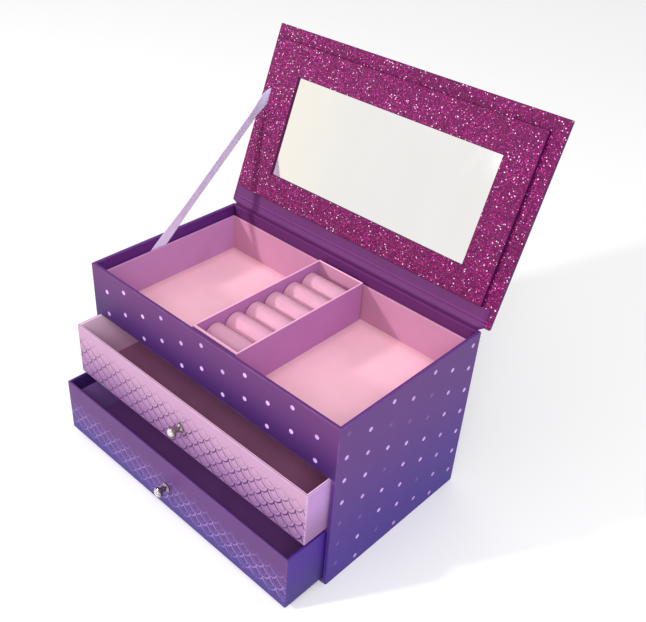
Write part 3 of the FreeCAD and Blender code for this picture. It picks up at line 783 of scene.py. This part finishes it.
class JEWELBOX_OT_tray(bpy.types.Operator):
    """Line the tray and the ring box with pink paper"""

    bl_idname = "jewelbox.tray"
    bl_label = "Tray papers"

    def execute(self, context):
        settings = context.scene.jewellery_box.tray
        # the walls, the back and the ring box get darker copies of the floor's pink as painted shade
        colours = dict.fromkeys(TRAY_WALLS, settings.wall)
        colours |= dict.fromkeys(RING_BOX_WALLS, settings.ring_box)
        colours |= {"tray_liner_back": settings.back, "ring_box_back": settings.back}
        for node, colour in colours.items():
            top = corners(node)[1][2]
            # the ring box's top edges get a painted highlight with their paler fold
            paint = with_top_highlight(colour, settings.edge, top) if node in RING_BOX_WALLS else plain(colour)
            wrap(node, paint, settings.edge, worn=0.25, contrast=0.07)
        wrap("tray_liner_floor", floor_paint(settings), settings.edge, worn=0.2, contrast=0.06)
        return {"FINISHED"}


def surface(name, points, material, closed=False, capped=False, uv=None):
    """A mesh on a grid of points, with quads from each row to the next, in one material.

    closed joins the last column to the first, capped covers the end rows, and uv is a grid of two values.
    """
    rows, columns = points.shape[:2]
    index = np.arange(rows * columns).reshape(rows, columns)
    ring = np.concatenate([index, index[:, :1]], axis=1) if closed else index
    quads = np.stack([ring[:-1, :-1], ring[:-1, 1:], ring[1:, 1:], ring[1:, :-1]], axis=-1)
    quads = quads.reshape(-1, 4).tolist()
    caps = [index[0, ::-1].tolist(), index[-1].tolist()] if capped else []
    mesh = bpy.data.meshes.new(name)
    mesh.from_pydata(points.reshape(-1, 3).tolist(), [], quads + caps)
    if uv is not None:
        corner = np.empty(len(mesh.loops), np.int32)
        mesh.loops.foreach_get("vertex_index", corner)
        layer = mesh.uv_layers.new(name="grid")
        layer.data.foreach_set("uv", uv.reshape(-1, 2)[corner].ravel())
    mesh.polygons.foreach_set("use_smooth", [True] * len(quads) + [False] * len(caps))
    mesh.materials.append(material)
    piece = bpy.data.objects.new(name, mesh)
    bpy.context.scene.collection.objects.link(piece)
    return piece


def roll_points(low, high, end_round, seed):
    """A padded roll across the ring box, as rings of points along x.

    Each ring is a half circle on two straight sides down to the floor. Near an end at distance d the ring
    draws in by e - sqrt(e^2 - (e - d)^2), a quarter round of radius e. At the share u of its length the roll
    swells in proportion to sin(pi u), and a slow wave keeps one roll from being like the next.
    """
    radius, middle = (high[1] - low[1]) / 2, (high[1] + low[1]) / 2
    length = high[0] - low[0]
    spring = high[2] - radius
    side = spring - low[2]
    turn = np.linspace(0.0, math.pi, ROLL_ARC)
    share = np.linspace(0.0, 1.0, ROLL_SIDE, endpoint=False)
    ones, zeros = np.ones(ROLL_SIDE), np.zeros(ROLL_SIDE)
    out_y = np.concatenate([-ones, -np.cos(turn), ones])
    out_z = np.concatenate([zeros, np.sin(turn), zeros])
    up, down = low[2] + share * side, spring - (share + 1 / ROLL_SIDE) * side
    base_z = np.concatenate([up, np.full(ROLL_ARC, spring), down])
    curl = end_round * (1 - np.cos(np.linspace(0.0, math.pi / 2, ROLL_END)))
    run = np.linspace(end_round, length - end_round, ROLL_RUN)
    d_left = np.concatenate([curl, run[1:-1], (length - curl)[::-1]])
    near = np.clip(end_round - np.minimum(d_left, length - d_left), 0.0, end_round)
    draw = end_round - np.sqrt(end_round**2 - near**2)
    u = d_left / length
    swell = ROLL_SWELL * np.sin(math.pi * u) - ROLL_INSET
    phase = 2 * math.pi * (ROLL_WAVES * u[:, None] + ROLL_STEP * seed) + ROLL_SKEW * out_y
    wave = ROLL_WAVE * np.sin(phase)
    offset = radius + (swell - draw)[:, None] + wave
    y = middle + offset * out_y
    z = base_z + np.where(out_z > 0, offset * out_z, 0.0)
    x = np.broadcast_to((low[0] + d_left)[:, None], y.shape)
    return np.stack([x, y, np.maximum(z, low[2] + ROLL_WAVE)], axis=-1)


def suede(settings):
    """Suede cloth: soft nap with brushed tone changes, painted shade at the left ends by the ring box's wall,
    a light sheen and a bump.
    """
    graph = Finish("roll_suede")
    brushed = graph.noise(5 * MM, 4.0, stretch=(0.35, 1.0, 1.0))
    nap = graph.noise(0.5 * MM, 4.0, 0.7)
    tone = graph.span(graph.plus(brushed, graph.times(nap, 0.4)), 0.45, 0.95)
    left = corners("ring_roll_1")[0][0]
    # painted shade at the left end of the roll
    end_shade = graph.smooth(graph.axes[0], left, left + ROLL_END_SHADE, 1.0, 0.0)
    return graph.done({
        "Base Color": graph.mix(end_shade, graph.mix(tone, *tones(settings.suede, 0.86)), settings.tuck),
        "Roughness": graph.span(nap, *WIDE, 0.72, 0.92),
        "Sheen Weight": 0.15,
        "Sheen Roughness": 0.4,
        "Sheen Tint": settings.edge,
        "Normal": graph.bump(graph.plus(nap, graph.times(brushed, 0.8)), NAP_HEIGHT),
    })


class JEWELBOX_OT_rolls(bpy.types.Operator):
    """Make the padded ring rolls"""

    bl_idname = "jewelbox.rolls"
    bl_label = "Ring rolls"

    def execute(self, context):
        settings = context.scene.jewellery_box.tray
        cloth = suede(settings)
        nodes = sorted(node for node in frame["nodes"] if node.startswith("ring_roll_"))
        for seed, node in enumerate(nodes):
            low, high = corners(node)
            points = roll_points(low, high, settings.end_round, seed)
            piece = surface(f"{node}_suede", points, cloth, closed=True, capped=True)
            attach(piece, "carcass")
            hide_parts(node)
        return {"FINISHED"}


def lining(graph, settings, name, top):
    """Colour inside a drawer: the upper deepens towards its foot with painted shade, the lower has dark paper
    turned in.
    """
    up = graph.axes[2]
    if name == "upper":
        # painted shade: deeper towards the floor
        return graph.mix(graph.smooth(up, top - LINING_FADE, top), settings.upper_low, settings.upper_inside)
    edge = top - settings.turn_in_depth
    above = graph.smooth(up, edge - TURN_IN_BLUR, edge + TURN_IN_BLUR)
    return graph.mix(above, settings.lower_inside, settings.turn_in)


def drawer_print(settings, name, ground):
    """Drawer paper: a ground that changes towards the foot, scale lines on the front, a lining inside."""
    low, high = corners(*(f"{name}_drawer_{wall}" for wall in DRAWER_WALLS))
    foot, ink = getattr(settings, f"{name}_foot"), getattr(settings, f"{name}_line")
    height = high[2] - low[2]
    shares, ink_weight = DRAWER_LINES[name]
    band = [low[2] + share * height for share in shares]

    def paint(graph):
        x, y, up = graph.axes
        colour = graph.mix(graph.smooth(up, low[2], low[2] + GROUND_FADE * height), foot, ground)
        lines = graph.use(
            fish_scales,
            across=x,
            up=graph.minus(up, low[2] + settings.line_start),
            pitch=settings.line_pitch,
            width=settings.line_width,
        )["Mask"]
        rising = graph.smooth(up, band[0], band[1])
        fading = graph.smooth(up, band[2], band[3], 1.0, 0.0)
        on_front = graph.math("LESS_THAN", y, low[1] + DRAWER_SKIN)
        broken = graph.span(graph.noise(9 * MM), 0.3, 0.55, 0.7, 1.0)
        stronger = graph.span(x, low[0], 0.6 * high[0], 0.8, 1.0)
        inked = graph.times(lines, rising, fading, on_front, broken, stronger, ink_weight)
        within = inside_mask(graph, low, high, DRAWER_LAP * thickness(f"{name}_drawer_front"))
        return graph.mix(within, graph.mix(inked, colour, ink), lining(graph, settings, name, high[2]))

    return paint


class JEWELBOX_OT_drawers(bpy.types.Operator):
    """Wrap and line the two drawers"""

    bl_idname = "jewelbox.drawers"
    bl_label = "Drawer papers"

    def execute(self, context):
        settings = context.scene.jewellery_box.drawers
        for name in DRAWER_LINES:
            side, wear, floor = (getattr(settings, f"{name}_{part}") for part in ("side", "wear", "floor"))
            for wall in DRAWER_WALLS:
                ground = getattr(settings, name) if wall == "front" else side
                wrap(f"{name}_drawer_{wall}", drawer_print(settings, name, ground), wear, worn=0.3)
            for part in ("floor", "lining"):
                wrap(f"{name}_drawer_{part}", plain(floor), wear, worn=0.1)
        return {"FINISHED"}


def metal(name, colour, roughness, brushed, size):
    """Plated metal with fine turned marks and a few duller patches."""
    graph = Finish(name)
    marks = graph.noise(size, 4.0, stretch=brushed)
    return graph.done({
        "Base Color": graph.mix(graph.noise(2.5 * MM), *tones(colour, 0.82)),
        "Roughness": graph.span(marks, *WIDE, roughness, roughness + 0.14),
        "Metallic": 1.0,
        "Normal": graph.bump(marks, TURNING_MARKS),
    })


def stone_points(low, high, sides):
    """A cut stone with its axis along -y: rings of points at set radii and depths.

    The last ring but one is turned by half a side, so the faces beside it are the facets of a brilliant cut.
    """
    middle = (low + high) / 2
    radii = STONE_RADII[:, None] * (high[0] - low[0]) / 2
    heights = STONE_HEIGHTS[:, None] * (high[1] - low[1])
    angles = 2 * math.pi * (np.arange(sides) + STONE_TURNS[:, None]) / sides
    x = middle[0] + radii * np.cos(angles)
    z = middle[2] + radii * np.sin(angles)
    y = np.broadcast_to(high[1] - heights, x.shape)
    return np.stack([x, y, z], axis=-1)


def crystal(settings):
    """Clear cut glass, foil bright, with faint inner clouds."""
    graph = Finish("knob_crystal_glass")
    cloud = graph.noise(1.2 * MM)
    return graph.done({
        "Base Color": graph.mix(graph.span(cloud, 0.38, 0.58), *tones(settings.stone, 0.5)),
        "Roughness": graph.span(cloud, *WIDE, 0.02, 0.06),
        "Transmission Weight": 0.45,
        "IOR": GLASS_IOR,
        "Coat Weight": 1.0,
        "Coat Roughness": 0.02,
    })


class JEWELBOX_OT_knobs(bpy.types.Operator):
    """Plate the knobs and set their stones"""

    bl_idname = "jewelbox.knobs"
    bl_label = "Knobs and stones"

    def execute(self, context):
        settings = context.scene.jewellery_box.knobs
        chrome = metal("knob_chrome", settings.chrome, roughness=0.08, brushed=(0.2, 3.0, 0.2), size=0.8 * MM)
        steel = metal("screw_steel", settings.steel, roughness=0.28, brushed=(1.0, 0.15, 1.0), size=0.5 * MM)
        glass = crystal(settings)
        for name in ("upper", "lower"):
            dress(f"{name}_knob", chrome)
            dress(f"{name}_knob_screw", steel)
            dress(f"{name}_knob_washer", steel)
            node = f"{name}_knob_crystal"
            low, high = corners(node)
            points = stone_points(low, high, STONE_SIDES)
            piece = surface(f"{node}_stone", points, glass, closed=True, capped=True)
            piece.data.polygons.foreach_set("use_smooth", [False] * len(piece.data.polygons))
            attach(piece, f"{name}_drawer")
            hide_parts(node)
        return {"FINISHED"}


def from_hinge(graph, direction):
    """How far a point lies from the hinge axis along a direction."""
    level = graph.vector("DOT_PRODUCT", graph.position, tuple(direction), output="Value")
    return graph.minus(level, float(HINGE_POINT @ direction))


def glitter(name, settings, top, side):
    """Glitter paper: dark gaps, magenta grains of random shade and tilt, pink lights and near-white sparks
    that are painted glints.

    Under the height top, where the sheet folds over the board's edge, it is plain paper of the side's colour;
    on the mirror frame that colour is a painted shade.
    """
    graph = Finish(name)
    grains = graph.use(glitter_grains, position=graph.position, grain=settings.grain)
    shade = grains["Shade"]
    shaded = graph.mix(shade, settings.glitter_dark, settings.glitter)
    lit = graph.mix(graph.smooth(shade, *LIGHT_GRAINS), shaded, settings.glitter_light)
    clouded = graph.dim(lit, graph.span(graph.noise(30 * MM, 3.0), *WIDE, 0.82, 1.0))
    gaps = graph.mix(graph.times(grains["Gap"], GAP_WEIGHT), clouded, settings.glitter_dark)
    # painted glints on the spark cells
    sparks = graph.mix(grains["Spark"], gaps, settings.spark)
    face = graph.smooth(from_hinge(graph, LID_OUT), *(top - depth for depth in FACE_FOLD))
    flat = graph.node("ShaderNodeNewGeometry").outputs["Normal"]
    return graph.done({
        "Base Color": graph.mix(face, side, sparks),
        "Roughness": graph.between(face, EDGE_ROUGHNESS, graph.span(shade, 0.0, 1.0, *GRAIN_ROUGHNESS)),
        "Metallic": graph.times(graph.span(shade, *GLINT_GRAINS, 0.0, GLINT), face),
        "Specular IOR Level": GLITTER_GLOSS,
        "Normal": graph.mix(face, flat, grains["Normal"]),
    })


def mirror_glass(settings):
    """Silvered glass with a painted warm reflection at its left end, and faint wiping smears."""
    graph = Finish("mirror_silver")
    smear = graph.noise(28 * MM, 4.0, stretch=(1.0, 0.4, 0.4))
    left = corners("mirror")[0][0]
    # painted warm reflection at the left end
    silver = graph.mix(graph.smooth(graph.axes[0], left, 0.0), settings.mirror_warm, settings.mirror)
    return graph.done({
        "Base Color": graph.dim(silver, graph.span(smear, 0.0, 1.0, 0.95, 1.0)),
        "Roughness": graph.span(smear, *NARROW, 0.015, 0.05),
        "Metallic": 1.0,
    })


class JEWELBOX_OT_lid(bpy.types.Operator):
    """Cover the lid and its frame with glitter paper and silver the mirror"""

    bl_idname = "jewelbox.lid"
    bl_label = "Glitter lid and mirror"

    def execute(self, context):
        settings = context.scene.jewellery_box.lid
        # the mirror frame's sides take a painted shade
        for node, side in (("lid_board", settings.lid_edge), ("mirror_frame", settings.frame_edge)):
            dress(node, glitter(f"{node}_glitter", settings, lid_corners(node)[1][2], side))
        dress("mirror", mirror_glass(settings))
        return {"FINISHED"}


def rounded(points, times):
    """Cuts the corners of a line of points: each pass puts points a quarter in from both ends of each run."""
    for _ in range(times):
        first, last = points[:-1], points[1:]
        cut = np.stack([0.75 * first + 0.25 * last, 0.25 * first + 0.75 * last], axis=1)
        points = np.concatenate([points[:1], cut.reshape(-1, points.shape[1]), points[-1:]])
    return points


def sheet_along(profile, left, right, columns):
    """A ruled sheet: each point of the profile is spread from its own left to its own right end along x."""
    x = left[:, None] + (right - left)[:, None] * np.linspace(0.0, 1.0, columns)
    y = np.broadcast_to(profile[:, :1], x.shape)
    z = np.broadcast_to(profile[:, 1:], x.shape)
    return np.stack([x, y, z], axis=-1)


def hinge_paper(settings, name, low_height, high_height, fold_reach):
    """Plain purple paper, darker with painted shade where it goes down inside the box, with a fold at a reach
    along the lid: a dark line of painted shade in the crease and pale lines of painted highlight beside it.
    """
    graph = Finish(name)
    grain = graph.use(paper_grain, position=graph.position, contrast=FLECKS)
    outside = graph.smooth(graph.axes[2], low_height, high_height)
    colour = graph.mix(outside, settings.hinge_shade, settings.hinge)
    crease = graph.noise(0.9 * MM, 3.0, stretch=(0.02, 1.0, 1.0))
    off_fold = graph.absolute(graph.minus(from_hinge(graph, LID_ALONG), fold_reach))
    # painted shade: a dark line in the crease of the fold
    fold = graph.smooth(off_fold, *FOLD_LINE, FOLD_SHADE, 1.0)
    beside = graph.absolute(graph.minus(off_fold, FOLD_BESIDE))
    # painted highlights: pale lines beside the crease
    highlight_lines = graph.smooth(beside, *HIGHLIGHT_RIM, HIGHLIGHT_TONE, 1.0)
    shade = graph.times(fold, highlight_lines, grain["Tone"], graph.span(crease, 0.35, 0.5, 0.97, 1.0))
    height = graph.math("MULTIPLY_ADD", crease, 0.25, grain["Height"])
    return paper(graph, grain, graph.dim(colour, shade), height)


def thicken(piece, depth):
    """Gives a sheet its thickness, half to each side."""
    solid = piece.modifiers.new("paper", "SOLIDIFY")
    solid.thickness = depth
    solid.offset = 0.0


class JEWELBOX_OT_hinge(bpy.types.Operator):
    """Fold the hinge papers between the back wall and the lid"""

    bl_idname = "jewelbox.hinge"
    bl_label = "Paper hinges"

    def execute(self, context):
        settings = context.scene.jewellery_box.lid
        _, back_high = corners("back_board")
        board = thickness("front_apron")
        self.inner(settings, settings.hinge_paper, back_high, board)
        self.outer(settings, settings.hinge_paper, back_high, board)
        return {"FINISHED"}

    def inner(self, settings, thick, back_high, board):
        """The fold seen from the front: up inside the back wall, over its rim, along the lid to the frame.

        The line of its section has its corners cut. On the lid it has a ridge and a groove, each its height
        times exp(-((r - place) / width)^2) at the reach r beyond its start there.
        """
        _, liner_high = corners("tray_liner_back")
        strip_low, strip_high = lid_corners("hinge_strip")
        frame_low, _ = lid_corners("mirror_frame")
        rim = back_high[2] + thick / 2
        wall = back_high[1] - board - thick / 2 - GLUE_GAP
        on_inner_face = strip_low[2] + thick / 2 + GLUE_GAP
        at_lid = on_lid(0.0, strip_low[1] + BEND_AT_LID[:, 0], on_inner_face + BEND_AT_LID[:, 1])[:, 1:]
        bend = rounded(np.concatenate([
            [[wall, liner_high[2] - INNER_TUCK]],
            [wall, rim] + BEND_AT_WALL,
            [back_high[1], rim] + BEND_AT_BACK,
            at_lid,
        ]), BEND_PASSES)
        reach = np.linspace(strip_low[1] + INNER_START, frame_low[1] - EDGE_GAP, INNER_ROWS)
        beyond = (reach - reach[0]) / MM
        relief = np.zeros(INNER_ROWS)
        for height, place, width in (FOLD_RIDGE, FOLD_GROOVE):
            relief += height * MM * np.exp(-(((beyond - place) / width) ** 2))
        flat = on_lid(0.0, reach, on_inner_face + np.maximum(relief, GROOVE_FLOOR))[:, 1:]
        profile = np.concatenate([bend, flat])
        share = np.ones(len(profile))
        share[: len(bend)] = np.clip((bend[:, 1] - (rim + WIDEN_FROM)) / WIDEN_OVER, 0, 1)
        inside = (back_high[0] - board - SIDE_GAP) * (1 - share)
        left, right = strip_low[0] * share - inside, strip_high[0] * share + inside
        lit_from, lit_to = (rim + height for height in INNER_LIGHT)
        fold = strip_low[1] + FOLD_REACH
        finish = hinge_paper(settings, "inner_hinge_paper", lit_from, lit_to, fold)
        piece = surface("inner_hinge_paper", sheet_along(profile, left, right, INNER_COLUMNS), finish)
        thicken(piece, thick)
        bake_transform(piece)
        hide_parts("hinge_strip")

    def outer(self, settings, thick, back_high, board):
        """The fold seen from behind: up the back board, round the hinge axis, along the lid's edge."""
        low, _ = corners("hinge_fold")
        lid_low, _ = lid_corners("lid_board")
        radius = HINGE_POINT[1] - back_high[1] - thick / 2 - EDGE_GAP
        angles = np.linspace(math.pi, LID_LEAN, OUTER_ARC)
        arc = HINGE_POINT[1:] + radius * np.stack([np.cos(angles), np.sin(angles)], axis=1)
        rise = np.linspace(low[2], arc[0, 1], OUTER_FOOT)[:-1]
        foot = np.stack([np.full(len(rise), arc[0, 0]), rise], axis=1)
        edge_reach = min(radius, lid_low[1] - thick / 2 - EDGE_GAP)
        tip = on_lid(0.0, edge_reach, np.linspace(0.0, lid_low[2] + OUTER_STOP, OUTER_TIP))[1:, 1:]
        profile = np.concatenate([foot, arc, tip])
        ends = np.full(len(profile), back_high[0] - board)
        lit_from, lit_to = (low[2] + height for height in OUTER_LIGHT)
        finish = hinge_paper(settings, "outer_hinge_paper", lit_from, lit_to, 0.0)
        piece = surface("outer_hinge_paper", sheet_along(profile, -ends, ends, OUTER_COLUMNS), finish)
        thicken(piece, thick)
        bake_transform(piece)
        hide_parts("hinge_fold")


def turned(vector, axis, angles):
    """A vector turned about a unit axis by each of the angles, by Rodrigues' formula."""
    c, s = np.cos(angles)[:, None], np.sin(angles)[:, None]
    return vector * c + np.cross(axis, vector) * s + axis * (axis @ vector) * (1 - c)


def eased(share):
    """From 0 to 1 with a level start and end: 3 t^2 - 2 t^3."""
    return share * share * (3 - 2 * share)


def ribbon_points(settings, low_tail, liner_top, frame_left, tail):
    """The ribbon as rows of points across its width, from the glued foot to the end under the mirror frame.

    Its middle runs straight up the wall's plane, follows a quadratic curve on to the lid, and lies along it.
    The cross direction turns from the wall's plane to the lid's along the curve, a twist about the ribbon's
    own length comes in over the foot and goes out on the curve, and the edges curl by cup times the square of
    the place across, from -1 to 1.
    """
    half = settings.thickness / 2
    x = low_tail[0] + half + RIBBON_GAP
    foot = np.array([x, -settings.foot_reach, liner_top])
    head = on_lid(x, settings.lid_reach, half - RIBBON_SINK)
    free_run = np.linalg.norm(head - foot)
    along = (head - foot) / free_run
    start = head - along * settings.turn
    end = np.array([frame_left - FRAME_GAP, head[1], head[2]])
    steps = np.linspace(-settings.lower_tail, np.linalg.norm(start - foot), settings.steps)
    straight = foot + steps[:, None] * along
    t = np.linspace(0.0, 1.0, RIBBON_TURN)[1:, None]
    curve = start * (1 - t) ** 2 + head * (2 * t * (1 - t)) + end * t**2
    lie = end + np.linspace(0.0, tail, RIBBON_END)[1:, None] * ACROSS
    middle = np.concatenate([straight, curve, lie])
    wall_across = np.cross(ACROSS, along)
    wall_axes = np.stack([along, wall_across, ACROSS], axis=1)
    change = Matrix((LID_AXES @ wall_axes.T).tolist()).to_quaternion()
    axis = np.array(change.axis)
    share = np.concatenate([np.zeros(len(straight)), t[:, 0], np.ones(len(lie))])
    angles = change.angle * eased(share)
    across, normal = turned(wall_across, axis, angles), turned(ACROSS, axis, angles)
    run = np.concatenate([[0.0], np.cumsum(np.linalg.norm(np.diff(middle, axis=0), axis=1))])
    rise = np.clip((run - settings.lower_tail) / settings.twist_run, 0.0, 1.0) * (1 - share)
    twist = settings.twist * eased(rise)
    cosine, sine = np.cos(twist)[:, None], np.sin(twist)[:, None]
    across, normal = across * cosine + normal * sine, normal * cosine - across * sine
    place = np.linspace(-1.0, 1.0, RIBBON_COLUMNS)
    row = np.arange(len(middle))
    free = np.clip(np.minimum(row, len(middle) - row) / CURL_ROWS, 0, 1)
    curl = settings.cup * free[:, None] * place**2
    off_middle = place * settings.width / 2
    rows = middle[:, None] + across[:, None] * off_middle[:, None] + normal[:, None] * curl[..., None]
    uv = np.stack(np.broadcast_arrays(off_middle, run[:, None]), axis=-1)
    return rows, uv, run[-1], foot, along, free_run


def satin(settings):
    """Satin: fine floats along the ribbon, denser edges, and a shine that runs with the threads."""
    graph = Finish("ribbon_satin")
    graph.position = graph.node("ShaderNodeUVMap", uv_map="grid").outputs[0]
    threads = graph.noise(0.4 * MM, stretch=(1.0, 0.03, 1.0))
    cross = graph.noise(0.5 * MM, stretch=(0.05, 1.0, 1.0))
    tone = graph.plus(graph.times(threads, 0.5), graph.times(graph.noise(9 * MM), 0.5))
    body = graph.mix(graph.span(tone, *NARROW), *tones(settings.satin, 0.82))
    inner, outer = (settings.width / 2 - reach for reach in SELVEDGE)
    edge = graph.smooth(graph.absolute(graph.axes[0]), inner, outer)
    return graph.done({
        "Base Color": graph.mix(edge, body, settings.edge),
        "Roughness": graph.span(cross, *WIDE, 0.3, 0.45),
        "Sheen Weight": 0.3,
        "Anisotropic": 0.5,
        "Normal": graph.bump(graph.plus(threads, graph.times(cross, 0.5)), FIBRE_HEIGHT),
    })


class JEWELBOX_OT_ribbon(bpy.types.Operator):
    """Hang the ribbon stay between the left wall and the lid"""

    bl_idname = "jewelbox.ribbon"
    bl_label = "Ribbon stay"

    def execute(self, context):
        settings = context.scene.jewellery_box.ribbon
        low_tail, _ = corners("stay_ribbon_lower_tail")
        _, liner_high = corners("tray_liner_left")
        frame_low, _ = lid_corners("mirror_frame")
        upper_low, upper_high = lid_corners("stay_ribbon_upper_tail")
        tail = upper_high[0] - upper_low[0]
        rows, uv, length, foot, along, run = ribbon_points(
            settings, low_tail, liner_high[2], frame_low[0], tail
        )
        piece = surface("stay_ribbon_satin", rows, satin(settings), uv=uv)
        thicken(piece, settings.thickness)
        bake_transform(piece)
        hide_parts("stay_ribbon", "stay_ribbon_lower_tail", "stay_ribbon_upper_tail")
        return {"FINISHED"}


def lamp(name, place, aim, power, size, colour=WHITE):
    """A square soft lamp that looks at a point."""
    light = bpy.data.lights.new(name, "AREA")
    light.energy = power
    light.size = size
    light.color = colour
    made = bpy.data.objects.new(name, light)
    made.location = place
    made.rotation_euler = (Vector(aim) - Vector(place)).to_track_quat("-Z", "Y").to_euler()
    bpy.context.scene.collection.objects.link(made)


def floor_points(reach):
    """A level square floor: x and y each run from -reach to reach."""
    across = np.linspace(-reach, reach, FLOOR_POINTS)
    x, y = np.meshgrid(across, across)
    return np.stack([x, y, np.zeros_like(x)], axis=-1)


class JEWELBOX_OT_stage(bpy.types.Operator):
    """Set the floor, the studio light and the camera"""

    bl_idname = "jewelbox.stage"
    bl_label = "Stage"

    def execute(self, context):
        settings = context.scene.jewellery_box.stage
        graph = Finish("studio_floor_paint")
        paint = graph.done({
            "Base Color": graph.mix(graph.noise(0.5), *tones(settings.floor, 0.985)),
            "Roughness": 0.9,
            "Specular IOR Level": 0.1,
        })
        floor = surface("studio_floor", floor_points(FLOOR_REACH), paint)
        low, high = CAD_BOX
        aim = (low + high) / 2
        lamp("key_lamp", KEY_PLACE, aim, settings.key, KEY_SIZE)
        lamp("fill_lamp", FILL_PLACE, aim, settings.fill, FILL_SIZE)
        lamp("card_lamp", CARD_PLACE, CARD_AIM, settings.card, CARD_SIZE, CARD_TINT)
        world = bpy.data.worlds.new("studio_sky")
        world.use_nodes = True
        background = world.node_tree.nodes["Background"]
        background.inputs["Color"].default_value = (*WHITE, 1.0)
        background.inputs["Strength"].default_value = settings.sky
        context.scene.world = world
        context.scene.view_settings.view_transform = "Standard"
        self.camera(context, settings)
        return {"FINISHED"}

    def camera(self, context, settings):
        """A camera at the eye, turned by azimuth and elevation and rolled about its line of sight."""
        sine, cosine = math.sin(settings.azimuth), math.cos(settings.azimuth)
        level = math.cos(settings.elevation)
        right = Vector((cosine, sine, 0.0))
        back = Vector((sine * level, -cosine * level, math.sin(settings.elevation)))
        up = back.cross(right)
        rolled_right = right * math.cos(settings.roll) + up * math.sin(settings.roll)
        rolled_up = up * math.cos(settings.roll) - right * math.sin(settings.roll)
        data = bpy.data.cameras.new("camera")
        data.lens = settings.lens
        data.shift_x, data.shift_y = settings.shift
        made = bpy.data.objects.new("camera", data)
        turn = Matrix((rolled_right, rolled_up, back)).transposed()
        made.matrix_world = Matrix.Translation(Vector(settings.eye)) @ turn.to_4x4()
        context.scene.collection.objects.link(made)
        context.scene.camera = made


OPERATORS = (
    JEWELBOX_OT_carcass, JEWELBOX_OT_tray, JEWELBOX_OT_rolls, JEWELBOX_OT_drawers, JEWELBOX_OT_knobs,
    JEWELBOX_OT_lid, JEWELBOX_OT_hinge, JEWELBOX_OT_ribbon, JEWELBOX_OT_stage,
)


class JEWELBOX_PT_panel(bpy.types.Panel):
    """Lists the steps that finish the box, with their settings"""

    bl_idname = "JEWELBOX_PT_panel"
    bl_label = "Jewellery Box"
    bl_space_type = "VIEW_3D"
    bl_region_type = "UI"
    bl_category = "Jewellery Box"

    def draw(self, context):
        settings = context.scene.jewellery_box
        for operator in OPERATORS:
            self.layout.operator(operator.bl_idname)
        for group in settings.__annotations__:
            part = getattr(settings, group)
            column = self.layout.column(heading=group.capitalize())
            for field in part.__annotations__:
                column.prop(part, field)


CLASSES = (
    CarcassSettings, TraySettings, DrawerSettings, LidSettings, RibbonSettings, KnobSettings, StageSettings,
    JewelleryBoxSettings, *OPERATORS, JEWELBOX_PT_panel,
)


def register():
    for cls in CLASSES:
        bpy.utils.register_class(cls)
    bpy.types.Scene.jewellery_box = PointerProperty(
        type=JewelleryBoxSettings, name="Jewellery box", description="Settings of the jewellery box's looks"
    )


def unregister():
    del bpy.types.Scene.jewellery_box
    for cls in reversed(CLASSES):
        bpy.utils.unregister_class(cls)


def main():
    """Registers the add-on and runs its steps in order."""
    register()
    for operator in OPERATORS:
        _, name = operator.bl_idname.split(".")
        getattr(bpy.ops.jewelbox, name)()


if __name__ == "__main__":
    main()
